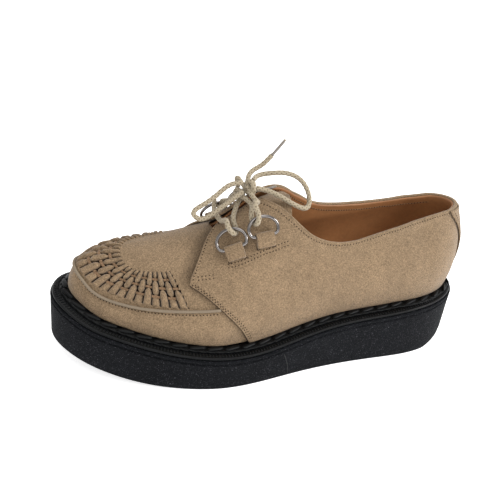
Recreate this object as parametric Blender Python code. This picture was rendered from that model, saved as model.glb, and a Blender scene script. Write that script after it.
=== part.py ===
# Left derby shoe on a thick crepe wedge: metres, toe toward -X, outer side toward -Y, standing on z = 0.
import math

import bmesh
import bpy
import numpy as np
from mathutils import Matrix, Vector

for old in list(bpy.data.objects):
    bpy.data.objects.remove(old, do_unlink=True)

# Named sizes, in metres.
LENGTH = 0.305  # outsole from heel to toe
BALL = 0.117  # outsole across the ball
HEEL = 0.0427  # crepe under the heel
SPRING = 0.0169  # toe lifted off the floor
FLARE = 0.0014  # top of the crepe wider than its bottom, at the sides
LEDGE = 0.0116  # crepe edge to the upper, at sides and toe
HEEL_LEDGE = 0.0057
MIDSOLE = 0.0022
WELT = 0.0025
GAP = 0.0003
LEATHER = 0.0014  # suede of the quarters
LINING = 0.0014  # wall of the vamp and lining
APART = 0.0006  # between two curved layers
TOE_FAN = -0.0955  # x where the sections of the toe meet on the ridge
HEEL_FAN = 0.1085
CORNER = 0.28  # part of a section that is wall, below the apron seam
WIRE = 0.0011  # radius of the ring wire
CORD = 0.0017  # radius of the lace
INSTEP = 0.118  # height of the top of the facings

# share of the length, outer half width, inner half width, top of the crepe; widths by BALL, height by HEEL
SOLE = [
    (0.00, 0.000, 0.000, 1.000),
    (0.03, 0.204, 0.197, 0.984),
    (0.08, 0.303, 0.291, 0.951),
    (0.15, 0.362, 0.338, 0.903),
    (0.25, 0.384, 0.333, 0.833),
    (0.35, 0.405, 0.312, 0.777),
    (0.45, 0.446, 0.321, 0.666),
    (0.55, 0.503, 0.376, 0.549),
    (0.65, 0.530, 0.453, 0.541),
    (0.72, 0.504, 0.488, 0.580),
    (0.80, 0.451, 0.485, 0.670),
    (0.87, 0.381, 0.444, 0.769),
    (0.93, 0.293, 0.361, 0.876),
    (0.97, 0.197, 0.250, 1.000),
    (1.00, 0.000, 0.000, 1.098),
]
# share of the length, height of the ridge by INSTEP, ridge off the middle by BALL
RIDGE = [
    (0.144, 1.398, -0.010),
    (0.300, 1.314, -0.017),
    (0.370, 1.254, -0.017),
    (0.465, 1.127, -0.017),
    (0.520, 1.038, -0.017),
    (0.565, 0.958, -0.017),
    (0.600, 0.881, -0.013),
    (0.627, 0.826, -0.009),
    (0.655, 0.788, -0.004),
    (0.700, 0.754, 0.000),
    (0.755, 0.720, 0.009),
    (0.813, 0.695, 0.015),
]
# share of the length, wall height and lean of the vamp by HEEL, power of the apron's dome, swell of the wall by HEEL
VAMP = [
    (0.000, 0.796, 0.094, 2.0, 0.070),
    (0.200, 0.796, 0.082, 2.0, 0.070),
    (0.450, 0.796, 0.070, 2.0, 0.082),
    (0.600, 0.703, 0.070, 2.0, 0.070),
    (0.655, 0.644, 0.070, 2.0, 0.061),
    (0.727, 0.562, 0.070, 2.0, 0.056),
    (0.787, 0.468, 0.075, 2.1, 0.052),
    (0.841, 0.386, 0.084, 2.2, 0.047),
    (0.894, 0.335, 0.094, 2.4, 0.042),
    (0.945, 0.309, 0.105, 2.8, 0.037),
    (0.970, 0.340, 0.117, 3.2, 0.033),
    (1.000, 0.363, 0.129, 3.6, 0.028),
]
# share of the length, lean of the outer and inner side, swell of each by HEEL, height of the swell by HEEL
QUARTER = [
    (0.000, 0.50, 0.50, 0.098, 0.098, 1.36),
    (0.030, 1.30, 0.90, 0.098, 0.098, 1.33),
    (0.080, 2.50, 1.50, 0.098, 0.098, 1.31),
    (0.136, 3.00, 1.50, 0.098, 0.098, 1.26),
    (0.200, 2.20, 1.10, 0.089, 0.098, 1.22),
    (0.280, 1.80, 0.90, 0.080, 0.098, 1.19),
    (0.370, 1.80, 0.95, 0.075, 0.098, 1.17),
    (0.465, 1.55, 1.00, 0.066, 0.094, 1.12),
    (0.560, 1.15, 1.00, 0.047, 0.059, 1.05),
    (0.650, 1.00, 1.00, 0.023, 0.023, 1.05),
    (0.750, 1.00, 1.00, 0.023, 0.023, 1.05),
]
# share of the length, height of the collar on the outer and inner side by INSTEP
COLLAR = [
    (0.000, 0.928, 0.928),
    (0.030, 0.915, 0.914),
    (0.055, 0.907, 0.899),
    (0.080, 0.899, 0.886),
    (0.115, 0.888, 0.873),
    (0.170, 0.866, 0.853),
    (0.210, 0.843, 0.840),
    (0.250, 0.820, 0.832),
    (0.288, 0.794, 0.832),
    (0.325, 0.771, 0.836),
    (0.358, 0.765, 0.844),
    (0.389, 0.775, 0.869),
    (0.412, 0.792, 0.904),
    (0.435, 0.821, 0.935),
    (0.455, 0.861, 0.968),
    (0.474, 0.903, 0.989),
    (0.494, 0.941, 0.996),
    (0.514, 0.969, 0.992),
    (0.533, 0.981, 0.985),
]
# share of the length, part of the section: front edge of a quarter from the welt by its tip to the throat
FRONT = [
    (0.575, 0.000),
    (0.600, 0.107),
    (0.623, 0.188),
    (0.645, 0.255),
    (0.660, 0.289),
    (0.690, 0.360),
    (0.719, 0.427),
    (0.715, 0.470),
    (0.701, 0.556),
    (0.686, 0.652),
    (0.675, 0.728),
    (0.661, 0.814),
    (0.646, 0.890),
    (0.633, 0.935),
]
# share of the length, part of the section: throat edge of a quarter from its top corner forward
THROAT = [(0.548, 0.885), (0.562, 0.912), (0.585, 0.924), (0.610, 0.930), (0.633, 0.935)]
# share of the length, lowest part of the tongue's section on either side, height where it levels off by INSTEP
TONGUE = [
    (0.640, 0.84, 0.90),
    (0.618, 0.79, 0.91),
    (0.595, 0.73, 0.925),
    (0.570, 0.67, 0.94),
    (0.545, 0.62, 0.955),
    (0.520, 0.57, 0.965),
    (0.495, 0.53, 0.97),
    (0.474, 0.52, 0.97),
]
# share of the length, part of the section, lean in degrees: the two rings of a side
RINGS = [(0.608, 0.569, 11.0), (0.545, 0.531, 11.0)]


def second(xs, ys, around):
    """Second derivatives of the cubic through the points, natural or closed after the distance around."""
    n = len(xs)
    h = np.diff(np.append(xs, xs[0] + around)) if around else np.diff(xs)
    a = np.zeros((n, n))
    b = np.zeros(n)
    for i in range(n):
        if not around and i in (0, n - 1):
            a[i, i] = 1.0
            continue
        before, after = (i - 1) % n, (i + 1) % n
        a[i, before] += h[i - 1]
        a[i, i] += 2 * (h[i - 1] + h[i])
        a[i, after] += h[i]
        b[i] = 6 * ((ys[after] - ys[i]) / h[i] - (ys[i] - ys[before]) / h[i - 1])
    return np.linalg.solve(a, b)


def curve(xs, ys, around=None):
    """A smooth function through the points."""
    xs, ys = np.array(xs, float), np.array(ys, float)
    m = second(xs, ys, around)
    if around:
        xs, ys, m = np.append(xs, xs[0] + around), np.append(ys, ys[0]), np.append(m, m[0])

    def at(x):
        x = np.asarray(x, float)
        x = xs[0] + np.mod(x - xs[0], around) if around else np.clip(x, xs[0], xs[-1])
        i = np.clip(np.searchsorted(xs, x, side="right") - 1, 0, len(xs) - 2)
        h = xs[i + 1] - xs[i]
        a, b = (xs[i + 1] - x) / h, (x - xs[i]) / h
        return a * ys[i] + b * ys[i + 1] + ((a**3 - a) * m[i] + (b**3 - b) * m[i + 1]) * h * h / 6

    return at


def steady(xs, ys):
    """A smooth function through the points that never overshoots them."""
    xs, ys = np.array(xs, float), np.array(ys, float)
    h = np.diff(xs)
    d = np.diff(ys) / h
    m = np.concatenate([[d[0]], np.zeros(len(d) - 1), [d[-1]]])
    for i in range(1, len(d)):
        if d[i - 1] * d[i] > 0:
            before, after = 2 * h[i] + h[i - 1], h[i] + 2 * h[i - 1]
            m[i] = (before + after) / (before / d[i - 1] + after / d[i])

    def at(x):
        x = np.clip(np.asarray(x, float), xs[0], xs[-1])
        i = np.clip(np.searchsorted(xs, x, side="right") - 1, 0, len(xs) - 2)
        t = (x - xs[i]) / h[i]
        rise = (1 + 2 * t) * (1 - t) ** 2 * ys[i] + t * (1 - t) ** 2 * h[i] * m[i]
        return rise + t * t * (3 - 2 * t) * ys[i + 1] + t * t * (t - 1) * h[i] * m[i + 1]

    return at


def column(table, index, size=1.0, kind=steady):
    return kind([row[0] for row in table], [row[index] * size for row in table])


def turn_of(share):
    """The angle round the outline at this share of the length: 0 at the heel, pi at the toe."""
    return np.arccos(1 - 2 * np.clip(np.asarray(share, float), 0, 1))


def share_of(turn):
    return (1 - np.cos(turn)) / 2


def toward(value, start, end):
    return np.clip((np.asarray(value, float) - start) / (end - start), 0, 1)


def soft(value, start, end):
    t = toward(value, start, end)
    return t * t * (3 - 2 * t)


sole = np.array(SOLE)
half = turn_of(sole[:, 0])
side_y = curve(
    np.concatenate([half, 2 * np.pi - half[-2:0:-1]]),
    np.concatenate([-sole[:, 1], sole[-2:0:-1, 2]]) * BALL,
    2 * np.pi,
)
top_z = column(SOLE, 3, HEEL, curve)
ridge_z = column(RIDGE, 1, INSTEP, curve)
ridge_y = column(RIDGE, 2, BALL, curve)
wall_rise, wall_lean, dome = column(VAMP, 1, HEEL), column(VAMP, 2, HEEL), column(VAMP, 3)
wall_swell = column(VAMP, 4, HEEL)
lean_outer, lean_inner = column(QUARTER, 1), column(QUARTER, 2)
swell_outer, swell_inner = column(QUARTER, 3, HEEL), column(QUARTER, 4, HEEL)
swell_top = column(QUARTER, 5, HEEL)
collar_outer, collar_inner = column(COLLAR, 1, INSTEP), column(COLLAR, 2, INSTEP)


def edge(turn, out=0.0):
    """Plan of the crepe's bottom edge moved outwards; the outer side is the first half turn."""
    turn = np.atleast_1d(np.asarray(turn, float))

    def at(angle):
        return np.stack([(0.5 - share_of(angle)) * LENGTH, side_y(angle)], -1)

    along = at(turn + 1e-4) - at(turn - 1e-4)
    along /= np.linalg.norm(along, axis=-1, keepdims=True)
    outward = np.stack([-along[..., 1], along[..., 0]], -1)
    return at(turn) - outward * (np.asarray(out) + np.zeros(len(turn)))[:, None] * outward_sign()


def outward_sign():
    return 1.0 if OUTWARD else -1.0


def flare(share):
    toe, heel = toward(share, 0.75, 1.0), toward(share, 0.2, 0.0)
    return FLARE * (1 - toe) * (1 - heel) - 0.0005 * toe + 0.0012 * heel


def ledge(share):
    heel = toward(share, 0.2, 0.0)
    return LEDGE * (1 - heel) + HEEL_LEDGE * heel


def floor_z(share):
    """The crepe's bottom: flat from heel to ball, then rising to the toe."""
    return SPRING * toward(share, 0.70, 1.0) ** 2


OUTWARD = True
OUTWARD = bool(edge(np.pi / 2, 0.01)[0, 1] < edge(np.pi / 2, 0.0)[0, 1])


def foot(turn):
    """Where the upper meets the welt."""
    share = share_of(turn)
    return np.column_stack([edge(turn, flare(share) - ledge(share)), top_z(share) + MIDSOLE + WELT])


def spine(turn):
    x = np.clip((0.5 - share_of(turn)) * LENGTH, TOE_FAN, HEEL_FAN)
    share = 0.5 - x / LENGTH
    return np.column_stack([x, ridge_y(share), ridge_z(share)])


def outward_of(turn):
    away = (edge(turn, 0.001) - edge(turn, 0.0)) / 0.001
    return np.column_stack([away, np.zeros(len(away))])


def sides(turn, outer, inner):
    share = share_of(turn)
    return np.where(np.mod(turn, 2 * np.pi) <= np.pi, outer(share), inner(share))


def vamp_section(turn, part):
    """A wall up to the apron seam, then the domed apron to the ridge."""
    share = share_of(turn)
    p, q = foot(turn), spine(turn)
    k = np.column_stack([edge(turn, flare(share) - ledge(share) - wall_lean(share)), p[:, 2] + wall_rise(share)])
    a = np.clip(part / CORNER, 0, 1)[..., None]
    swell = outward_of(turn)[:, None] * wall_swell(share)[:, None, None] * 4 * a * (1 - a)
    wall = p[:, None] * (1 - a) + k[:, None] * a + swell
    b = np.clip((part - CORNER) / (1 - CORNER), 0, 1)
    fan = 0.5 - TOE_FAN / LENGTH
    slope = (ridge_z(fan) - ridge_z(fan - 0.01 / LENGTH)) / -0.01
    plan = k[:, None, :2] * (1 - b[..., None]) + q[:, None, :2] * b[..., None]
    drop = q[:, 2] + slope * (k[:, 0] - q[:, 0]) - k[:, 2]
    z = q[:, None, 2] + slope * (plan[..., 0] - q[:, None, 0]) - drop[:, None] * (1 - b) ** dome(share)[:, None]
    roof = np.concatenate([plan, z[..., None]], -1)
    return np.where(part[..., None] < CORNER, wall, roof)


def quarter_section(turn, part):
    """A wall that swells above the welt and leans in toward the ridge."""
    share = share_of(turn)
    p, q = foot(turn), spine(turn)
    angle = part * np.pi / 2
    inward = 1 - np.cos(angle) ** sides(turn, lean_outer, lean_inner)[:, None]
    z = p[:, 2:3] + (q[:, 2:3] - p[:, 2:3]) * np.sin(angle)
    up = np.clip((z - p[:, 2:3]) / swell_top(share)[:, None], 0, 1)
    swell = sides(turn, swell_outer, swell_inner)[:, None] * 4 * up * (1 - up)
    plan = p[:, None, :2] * (1 - inward[..., None]) + q[:, None, :2] * inward[..., None]
    plan = plan + outward_of(turn)[:, None, :2] * swell[..., None]
    return np.concatenate([plan, z[..., None]], -1)


def form(turn, part):
    """The shoe's outer form: one section for each turn, with part from 0 at the welt to 1 at the ridge."""
    turn = np.atleast_1d(np.asarray(turn, float))
    part = np.broadcast_to(np.asarray(part, float), (len(turn), np.shape(part)[-1]))
    mix = soft(share_of(turn), 0.56, 0.66)[:, None, None]
    return quarter_section(turn, part) * (1 - mix) + vamp_section(turn, part) * mix


def form_at(turn, part):
    """Points of the form at matched turns and parts of any one shape, with their outward normals."""
    turn, part = np.broadcast_arrays(np.asarray(turn, float), np.asarray(part, float))
    t, w = turn.reshape(-1), part.reshape(-1)

    def at(a, b):
        return form(a, b[:, None])[:, 0]

    here = at(t, w)
    step_w = np.where(w < 0.5, 0.004, -0.004)
    up = (at(t, w + step_w) - here) * np.sign(step_w)[:, None]
    along = at(t + 0.004, w) - at(t - 0.004, w)
    normal = np.cross(along, up)
    normal /= np.linalg.norm(normal, axis=1, keepdims=True) + 1e-12
    centre = np.column_stack([np.clip(here[:, 0], TOE_FAN, HEEL_FAN), np.zeros(len(t)), np.full(len(t), 0.04)])
    flip = np.sign(((here - centre) * normal).sum(1))
    normal *= np.where(flip == 0, 1, flip)[:, None]
    return here.reshape(turn.shape + (3,)), normal.reshape(turn.shape + (3,))


def lift(share):
    """How far the quarters' outer face stands off the form, where they lie over the vamp."""
    return (LEATHER + APART) * soft(share, 0.56, 0.68)


def part_at_height(turn, z):
    """The part of a section at which it first reaches a height."""
    steps = np.linspace(0, 1, 241)
    rows = form(np.atleast_1d(turn), steps)[..., 2]
    return np.array([np.interp(h, row, steps) for h, row in zip(np.atleast_1d(z), rows)])


def collar_part(turn, inner):
    share = share_of(turn)
    return part_at_height(turn, (collar_inner if inner else collar_outer)(share))


def along_line(points, marks):
    """Points of a polyline at shares of its length, measured on the shoe's form."""
    points = np.array(points, float)
    fine = np.concatenate([np.linspace(a, b, 9)[:-1] for a, b in zip(points[:-1], points[1:])] + [points[-1:]])
    there, _ = form_at(fine[:, 0], fine[:, 1])
    run = np.concatenate([[0], np.cumsum(np.linalg.norm(np.diff(there, axis=0), axis=1))])
    return np.column_stack([np.interp(np.array(marks) * run[-1], run, fine[:, i]) for i in (0, 1)])


# Materials: one for each piece, each node given its own copy.
SUEDE, CREPE, BLACK = (0.45, 0.32, 0.19), (0.016, 0.017, 0.019), (0.012, 0.012, 0.013)
TAN, NICKEL, LACE = (0.40, 0.17, 0.055), (0.55, 0.54, 0.53), (0.50, 0.42, 0.30)
home = bpy.data.collections.new("derby_shoe")
bpy.context.scene.collection.children.link(home)


def material_for(name, colour, rough, metal):
    material = bpy.data.materials.new(name)
    material.use_nodes = True
    shader = material.node_tree.nodes["Principled BSDF"]
    shader.inputs["Base Color"].default_value = (*colour, 1)
    shader.inputs["Roughness"].default_value = rough
    shader.inputs["Metallic"].default_value = metal
    return material


def finish_piece(name, verts, faces, colour, rough, metal=0.0, merge=2e-6, smooth=True):
    mesh = bpy.data.meshes.new(name)
    mesh.from_pydata([tuple(v) for v in verts], [], [tuple(f) for f in faces])
    bm = bmesh.new()
    bm.from_mesh(mesh)
    bmesh.ops.remove_doubles(bm, verts=bm.verts, dist=merge)
    bmesh.ops.recalc_face_normals(bm, faces=bm.faces)
    if bm.calc_volume(signed=True) < 0:
        bmesh.ops.reverse_faces(bm, faces=bm.faces)
    return finish_bm(name, bm, mesh, colour, rough, metal, smooth)


def finish_bm(name, bm, mesh, colour, rough, metal=0.0, smooth=True):
    for face in bm.faces:
        face.smooth = smooth
    bm.to_mesh(mesh)
    bm.free()
    piece = bpy.data.objects.new(name, mesh)
    home.objects.link(piece)
    mesh.materials.append(material_for(name, colour, rough, metal))
    return piece


def rings_body(rings):
    """Closed body of stacked closed rings with matched points; the ends are capped by strips across the shoe."""
    n = len(rings[0])
    verts = np.concatenate(rings)
    spread = [np.abs(r[:, :2]).mean() for r in rings]
    faces = []
    for j in range(len(rings) - 1):
        for i in range(n):
            k = (i + 1) % n
            a, b, c, d = j * n + i, j * n + k, (j + 1) * n + k, (j + 1) * n + i
            # The same diagonal in every layer, so that two layers keep their gap.
            faces += [(a, b, c), (a, c, d)] if spread[j] > spread[j + 1] else [(a, b, d), (b, c, d)]
    for base in (0, (len(rings) - 1) * n):
        for i in range(n // 2):
            a, b, c, d = i, i + 1, (n - i - 1) % n, (n - i) % n
            face = [base + v for v in dict.fromkeys((a, b, c, d))]
            faces.append(tuple(face))
    return verts, faces


def sheet_faces(rows, columns, closed=False):
    faces = []
    for i in range(rows if closed else rows - 1):
        k = (i + 1) % rows
        for j in range(columns - 1):
            faces.append((i * columns + j, k * columns + j, k * columns + j + 1, i * columns + j + 1))
    return faces


def slab(outer, inner):
    """Closed body between two matched grids of points."""
    rows, columns = outer.shape[:2]
    verts = np.concatenate([outer.reshape(-1, 3), inner.reshape(-1, 3)])
    half_count = rows * columns
    faces = sheet_faces(rows, columns)
    faces += [tuple(v + half_count for v in reversed(f)) for f in faces]
    rim = [(i, 0) for i in range(rows)] + [(rows - 1, j) for j in range(1, columns)]
    rim += [(i, columns - 1) for i in range(rows - 2, -1, -1)] + [(0, j) for j in range(columns - 2, 0, -1)]
    rim = [i * columns + j for i, j in rim]
    for a, b in zip(rim, rim[1:] + rim[:1]):
        faces.append((a, b, b + half_count, a + half_count))
    return verts, faces


# Sole: the crepe wedge with its toe spring, rounded heel and beaded top, the midsole and the welt.
STATIONS = 48
turns = np.arange(STATIONS) * 2 * np.pi / STATIONS
shares = share_of(turns)
heel_round = toward(shares, 0.10, 0.0)


def ring(out, z):
    return np.column_stack([edge(turns, out), z + np.zeros(STATIONS)])


low, high = floor_z(shares), top_z(shares)
foot_in = flare(shares) - ledge(shares)
DECK = 0.012  # from the upper's edge in to the level deck
deck_share = 0.5 - edge(turns, foot_in - DECK)[:, 0] / LENGTH
deck_z = top_z(deck_share)


def deck_ring(inward, above):
    """A ring inside the upper's edge, on the slope from the ledge down to the deck."""
    z = high + (deck_z - high) * inward / DECK
    return ring(foot_in - inward, z + above)


corner = 0.0015 + 0.0105 * heel_round
bead = 0.0016
crepe = [ring(-corner - 0.003, low), ring(-corner, low)]
for angle in (30, 60, 90):
    a = math.radians(angle)
    crepe.append(ring(-corner * (1 - math.sin(a)), low + corner * (1 - math.cos(a))))
crepe.append(ring(flare(shares) * 0.6, low + (high - low) * 0.6))
crepe.append(ring(flare(shares), high - 2 * bead))
crepe.append(ring(flare(shares) - 0.0007, high - 1.9 * bead))
crepe.append(ring(flare(shares) - 0.0007, high - 1.1 * bead))
crepe.append(ring(flare(shares), high - bead))
crepe.append(ring(flare(shares), high - 0.0005))
crepe.append(ring(flare(shares) - 0.0006, high))
crepe.append(deck_ring(0.0, 0.0))
crepe.append(deck_ring(DECK, 0.0))
finish_piece("outsole", *rings_body(crepe), CREPE, 0.75)

layer = [
    deck_ring(DECK, GAP),
    deck_ring(0.0, GAP),
    ring(flare(shares) - 0.0012, high + GAP),
    ring(flare(shares) - 0.0012, high + MIDSOLE - 0.0006),
    ring(flare(shares) - 0.0018, high + MIDSOLE),
    deck_ring(0.0, MIDSOLE),
    deck_ring(DECK, MIDSOLE),
]
finish_piece("midsole", *rings_body(layer), BLACK, 0.6)

base = high + MIDSOLE + GAP
outer_edge = foot_in + 0.0052 - 0.0026 * toward(shares, 0.12, 0.0)
profile = [
    (foot_in - 0.0026, base),
    (outer_edge, base),
    (outer_edge, base + 0.0011),
    (outer_edge - 0.0011, base + WELT - 2 * GAP - 0.0005),
    (outer_edge - 0.0026, base + WELT - 2 * GAP),
    (foot_in - 0.0026, base + WELT - 2 * GAP),
]
rings = [ring(out, z) for out, z in profile]
count = len(rings)
verts = np.concatenate(rings)
faces = []
for j in range(count):
    for i in range(STATIONS):
        k = (i + 1) % STATIONS
        m = (j + 1) % count
        faces.append((j * STATIONS + i, j * STATIONS + k, m * STATIONS + k, m * STATIONS + i))
finish_piece("welt", verts, faces, BLACK, 0.45)

SOCK = LEATHER + LINING + APART + 0.0015  # upper's edge in to the insole
sock_z = MIDSOLE + 2 * GAP
finish_piece(
    "insole",
    *rings_body(
        [
            deck_ring(DECK, sock_z),
            deck_ring(SOCK, sock_z),
            deck_ring(SOCK, sock_z + 0.0032),
            deck_ring(SOCK + 0.001, sock_z + 0.0038),
            deck_ring(DECK, sock_z + 0.0038),
        ]
    ),
    TAN,
    0.6,
)


# Upper: vamp, woven apron and lining as one hollow wall, open at collar, throat and sole.
WEAVE_FROM = 0.735
SEAMS = [0.0, 0.07, 0.14, 0.21, CORNER, 0.325, 0.485, 0.645, 0.80, 1.0]
fine_turns = np.linspace(turn_of(WEAVE_FROM), np.pi, 400)
seam_line = form(fine_turns, np.array([CORNER]))[:, 0]
run = np.concatenate([[0], np.cumsum(np.linalg.norm(np.diff(seam_line, axis=0), axis=1))])
STRIPS = 13
strip_turns = np.interp(np.linspace(0, run[-1], STRIPS + 1), run, fine_turns)
rear_turns = np.array([0.0, 0.07, 0.14, 0.21, 0.28, 0.36, 0.45, 0.56, 0.69, 0.83, 0.98, 1.13, 1.27, 1.40, 1.52, 1.64])
rear_turns = np.concatenate([rear_turns, turn_of([0.562, 0.590, 0.618, 0.640, 0.656, 0.675, 0.695, 0.715])])
one_side = np.concatenate([rear_turns, strip_turns])
loop = np.concatenate([one_side, 2 * np.pi - one_side[-2:0:-1]])


def throat_part(share):
    return np.interp(share, [row[0] for row in THROAT], [row[1] for row in THROAT])


def top_part(turn, inner, below):
    """Where the quarter or its lining ends, on one side."""
    share = share_of(turn)
    by_collar = collar_part(turn, inner)
    by_throat = throat_part(share)
    mix = toward(share, 0.533, 0.548)
    return by_collar * (1 - mix) + by_throat * mix - below


inner_side = loop > np.pi
tops = np.where(
    share_of(loop) > 0.650,
    1.0,
    np.where(inner_side, top_part(loop, True, 0.0), top_part(loop, False, 0.0)),
)
throat_zone = soft(share_of(loop), 0.50, 0.56) * (share_of(loop) < 0.650)
tops = tops - 0.022 * throat_zone - 0.004 * (share_of(loop) < 0.50)
parts = tops[:, None] * np.array(SEAMS)[None]
face_points, face_normals = form_at(np.repeat(loop[:, None], len(SEAMS), 1), parts)
drop = LEATHER + APART - lift(share_of(loop)) + 0.0004 * toward(share_of(loop), 0.20, 0.06)
outer = face_points - face_normals * drop[:, None, None]
outer[:, 0, 2] += 0.0001

mesh = bpy.data.meshes.new("upper")
bm = bmesh.new()
grid = [[bm.verts.new(Vector(point)) for point in row] for row in outer]
woven = {}
for i in range(len(loop)):
    k = (i + 1) % len(loop)
    for j in range(len(SEAMS) - 1):
        corners = list(dict.fromkeys((grid[i][j], grid[k][j], grid[k][j + 1], grid[i][j + 1])))
        face = bm.faces.new(corners)
        middle_share = share_of(0.5 * (loop[i] + (loop[k] if k else 2 * np.pi)))
        if middle_share > WEAVE_FROM and SEAMS[j] >= 0.32 and j < len(SEAMS) - 2:
            woven[face] = (i + j) % 2
bmesh.ops.remove_doubles(bm, verts=bm.verts, dist=2e-5)
woven = {face: kind for face, kind in woven.items() if face.is_valid}
bmesh.ops.recalc_face_normals(bm, faces=bm.faces)
bm.normal_update()
sample = max(bm.verts, key=lambda v: -v.co.x)
if sample.normal.x > 0:
    bmesh.ops.reverse_faces(bm, faces=bm.faces)
    bm.normal_update()
outside = list(bm.faces)
skin = {v: v.co - v.normal * LINING for v in bm.verts}
for vert, place in skin.items():
    if vert.is_boundary and vert.co.z < place.z + 0.0002:
        place.z = max(place.z, vert.co.z)
under = {v: bm.verts.new(place) for v, place in skin.items()}
rims = [e for e in bm.edges if e.is_boundary]
for face in outside:
    bm.faces.new([under[v] for v in reversed(face.verts)])
for rim in rims:
    a, b = rim.verts
    loop_of = rim.link_loops[0]
    if loop_of.vert is a:
        a, b = b, a
    bm.faces.new([a, b, under[b], under[a]])
for kind, depth in ((0, 0.0009), (1, 0.0004)):
    chosen = [face for face, value in woven.items() if value == kind]
    bmesh.ops.inset_individual(bm, faces=chosen, thickness=0.0006, depth=depth)
bm.normal_update()
if bm.calc_volume(signed=True) < 0:
    bmesh.ops.reverse_faces(bm, faces=bm.faces)
finish_bm("upper", bm, mesh, SUEDE, 0.95)


# Quarters: one overlay on each side, from the back seam to the facing.
ACROSS = [0, 0.02, 0.045, 0.075, 0.11, 0.15, 0.20, 0.26, 0.33, 0.40, 0.47, 0.54, 0.61, 0.67, 0.73, 0.79, 0.84, 0.89, 0.93, 0.97, 1]
UP = [0, 0.12, 0.24, 0.36, 0.48, 0.60, 0.72, 0.84, 0.93, 1]


def quarter_grid(inner):
    """Turns and parts of a grid over one quarter, drawn between its four edges."""
    start = 0.010
    collar_turns = np.concatenate([np.linspace(start, 1.0, 24), turn_of(np.linspace(0.25, 0.533, 30))])
    collar = np.column_stack([collar_turns, collar_part(2 * np.pi - collar_turns if inner else collar_turns, inner)])
    throat = [(float(turn_of(s)), w) for s, w in THROAT]
    top = np.concatenate([collar, throat])
    front = np.array([(float(turn_of(s)), w) for s, w in FRONT])
    back = np.array([(start, 0.0), (start, collar[0, 1])])
    bottom = np.array([(t, 0.0) for t in np.linspace(start, front[0, 0], 30)])
    a, v = np.array(ACROSS), np.array(UP)
    lower, upper_edge = along_line(bottom, a), along_line(top, a)
    rear, fore = along_line(back, v), along_line(front, v)
    a, v = a[:, None, None], v[None, :, None]
    ruled = lower[:, None] * (1 - v) + upper_edge[:, None] * v + rear[None] * (1 - a) + fore[None] * a
    ends = lower[0] * (1 - a) * (1 - v) + lower[-1] * a * (1 - v) + upper_edge[0] * (1 - a) * v
    grid = ruled - ends - upper_edge[-1] * a * v
    turn = grid[..., 0]
    return (2 * np.pi - turn if inner else turn), grid[..., 1]


for name, inner in (("quarter_outer", False), ("quarter_inner", True)):
    turn, part = quarter_grid(inner)
    points, normals = form_at(turn, part)
    stand = lift(share_of(turn))[..., None]
    finish_piece(name, *slab(points + normals * stand, points + normals * (stand - LEATHER)), SUEDE, 0.95)

# Back strap over the seam of the quarters.
STRAP_LOW, STRAP_TOP = 0.16, 0.42  # half width of the strap, in turns of the outline
strap_rows = np.linspace(0, 1, 7)
strap_turns, strap_parts = [], []
for v in strap_rows:
    reach = STRAP_LOW + (STRAP_TOP - STRAP_LOW) * v**2
    row = np.linspace(-reach, reach, 13)
    strap_turns.append(row)
    tops_here = np.array([collar_part(np.array([abs(t)]), t < 0)[0] for t in row])
    strap_parts.append(v * tops_here)
points, normals = form_at(np.array(strap_turns), np.array(strap_parts))
finish_piece("back_strap", *slab(points + normals * 0.0017, points + normals * 0.0006), SUEDE, 0.95)


def tube(name, path, radius, colour, rough, metal=0.0, closed=False, resolution=2):
    """A round cord, wire or bead along a path."""
    line = bpy.data.curves.new(name, "CURVE")
    line.dimensions = "3D"
    line.bevel_depth = radius
    line.bevel_resolution = resolution
    line.use_fill_caps = not closed
    spline = line.splines.new("POLY")
    spline.points.add(len(path) - 1)
    for point, place in zip(spline.points, path):
        point.co = (*place, 1.0)
    spline.use_cyclic_u = closed
    spline.use_smooth = True
    piece = bpy.data.objects.new(name, line)
    home.objects.link(piece)
    line.materials.append(material_for(name, colour, rough, metal))
    return piece


# Piping along the apron seam, from one quarter's edge round the toe to the other's.
seam_turns = np.interp(np.linspace(0, run[-1], 19), run, fine_turns)
seam_turns = np.concatenate([turn_of([0.676]), seam_turns])
seam_turns = np.concatenate([seam_turns, 2 * np.pi - seam_turns[-2::-1]])
seam, _ = form_at(seam_turns, np.full(len(seam_turns), CORNER - 0.012))
seam = seam + outward_of(seam_turns) * 0.0016 + np.array([0, 0, 0.0008])
tube("apron_piping", seam, 0.0011, SUEDE, 0.7, resolution=1)


# Tongue: one thick tongue under the facings, from below the vamp's edge to behind the top ring.
UNDER = LEATHER + APART + LINING + 0.0019
rows = []
for share, lowest, level in TONGUE:
    turn = float(turn_of(share))
    up = np.linspace(lowest, 1.0, 6)
    over_outer, normal_outer = form_at(np.full(6, turn), np.minimum(up, 0.995))
    over_inner, normal_inner = form_at(np.full(5, 2 * np.pi - turn), np.minimum(up[:5], 0.995)[::-1])
    over = np.concatenate([over_outer, over_inner]) - UNDER * np.concatenate([normal_outer, normal_inner])
    over[:, 2] += lift(share)
    k = 0.002
    over[:, 2] = -k * np.log(np.exp(-over[:, 2] / k) + np.exp(-level * INSTEP / k))
    rows.append(over)
tongue = np.array(rows)
finish_piece("tongue", *slab(tongue, tongue - np.array([0, 0, 0.0024])), SUEDE, 0.95)


# Rings: four D-rings, each held by a folded leather tab on its quarter.
def local_frame(share, part, inner, lean):
    turn = float(turn_of(share))
    turn = 2 * np.pi - turn if inner else turn
    point, normal = form_at(np.array([turn]), np.array([part]))
    above, _ = form_at(np.array([turn]), np.array([part + 0.03]))
    point, normal, up = point[0] + normal[0] * lift(share), normal[0], above[0] - point[0]
    up -= normal * (up @ normal)
    up /= np.linalg.norm(up)
    across = np.cross(up, normal)
    across *= np.sign(-across[0])
    a = math.radians(lean)
    up, across = up * math.cos(a) + across * math.sin(a), across * math.cos(a) - up * math.sin(a)
    return point, across, up, normal


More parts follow.
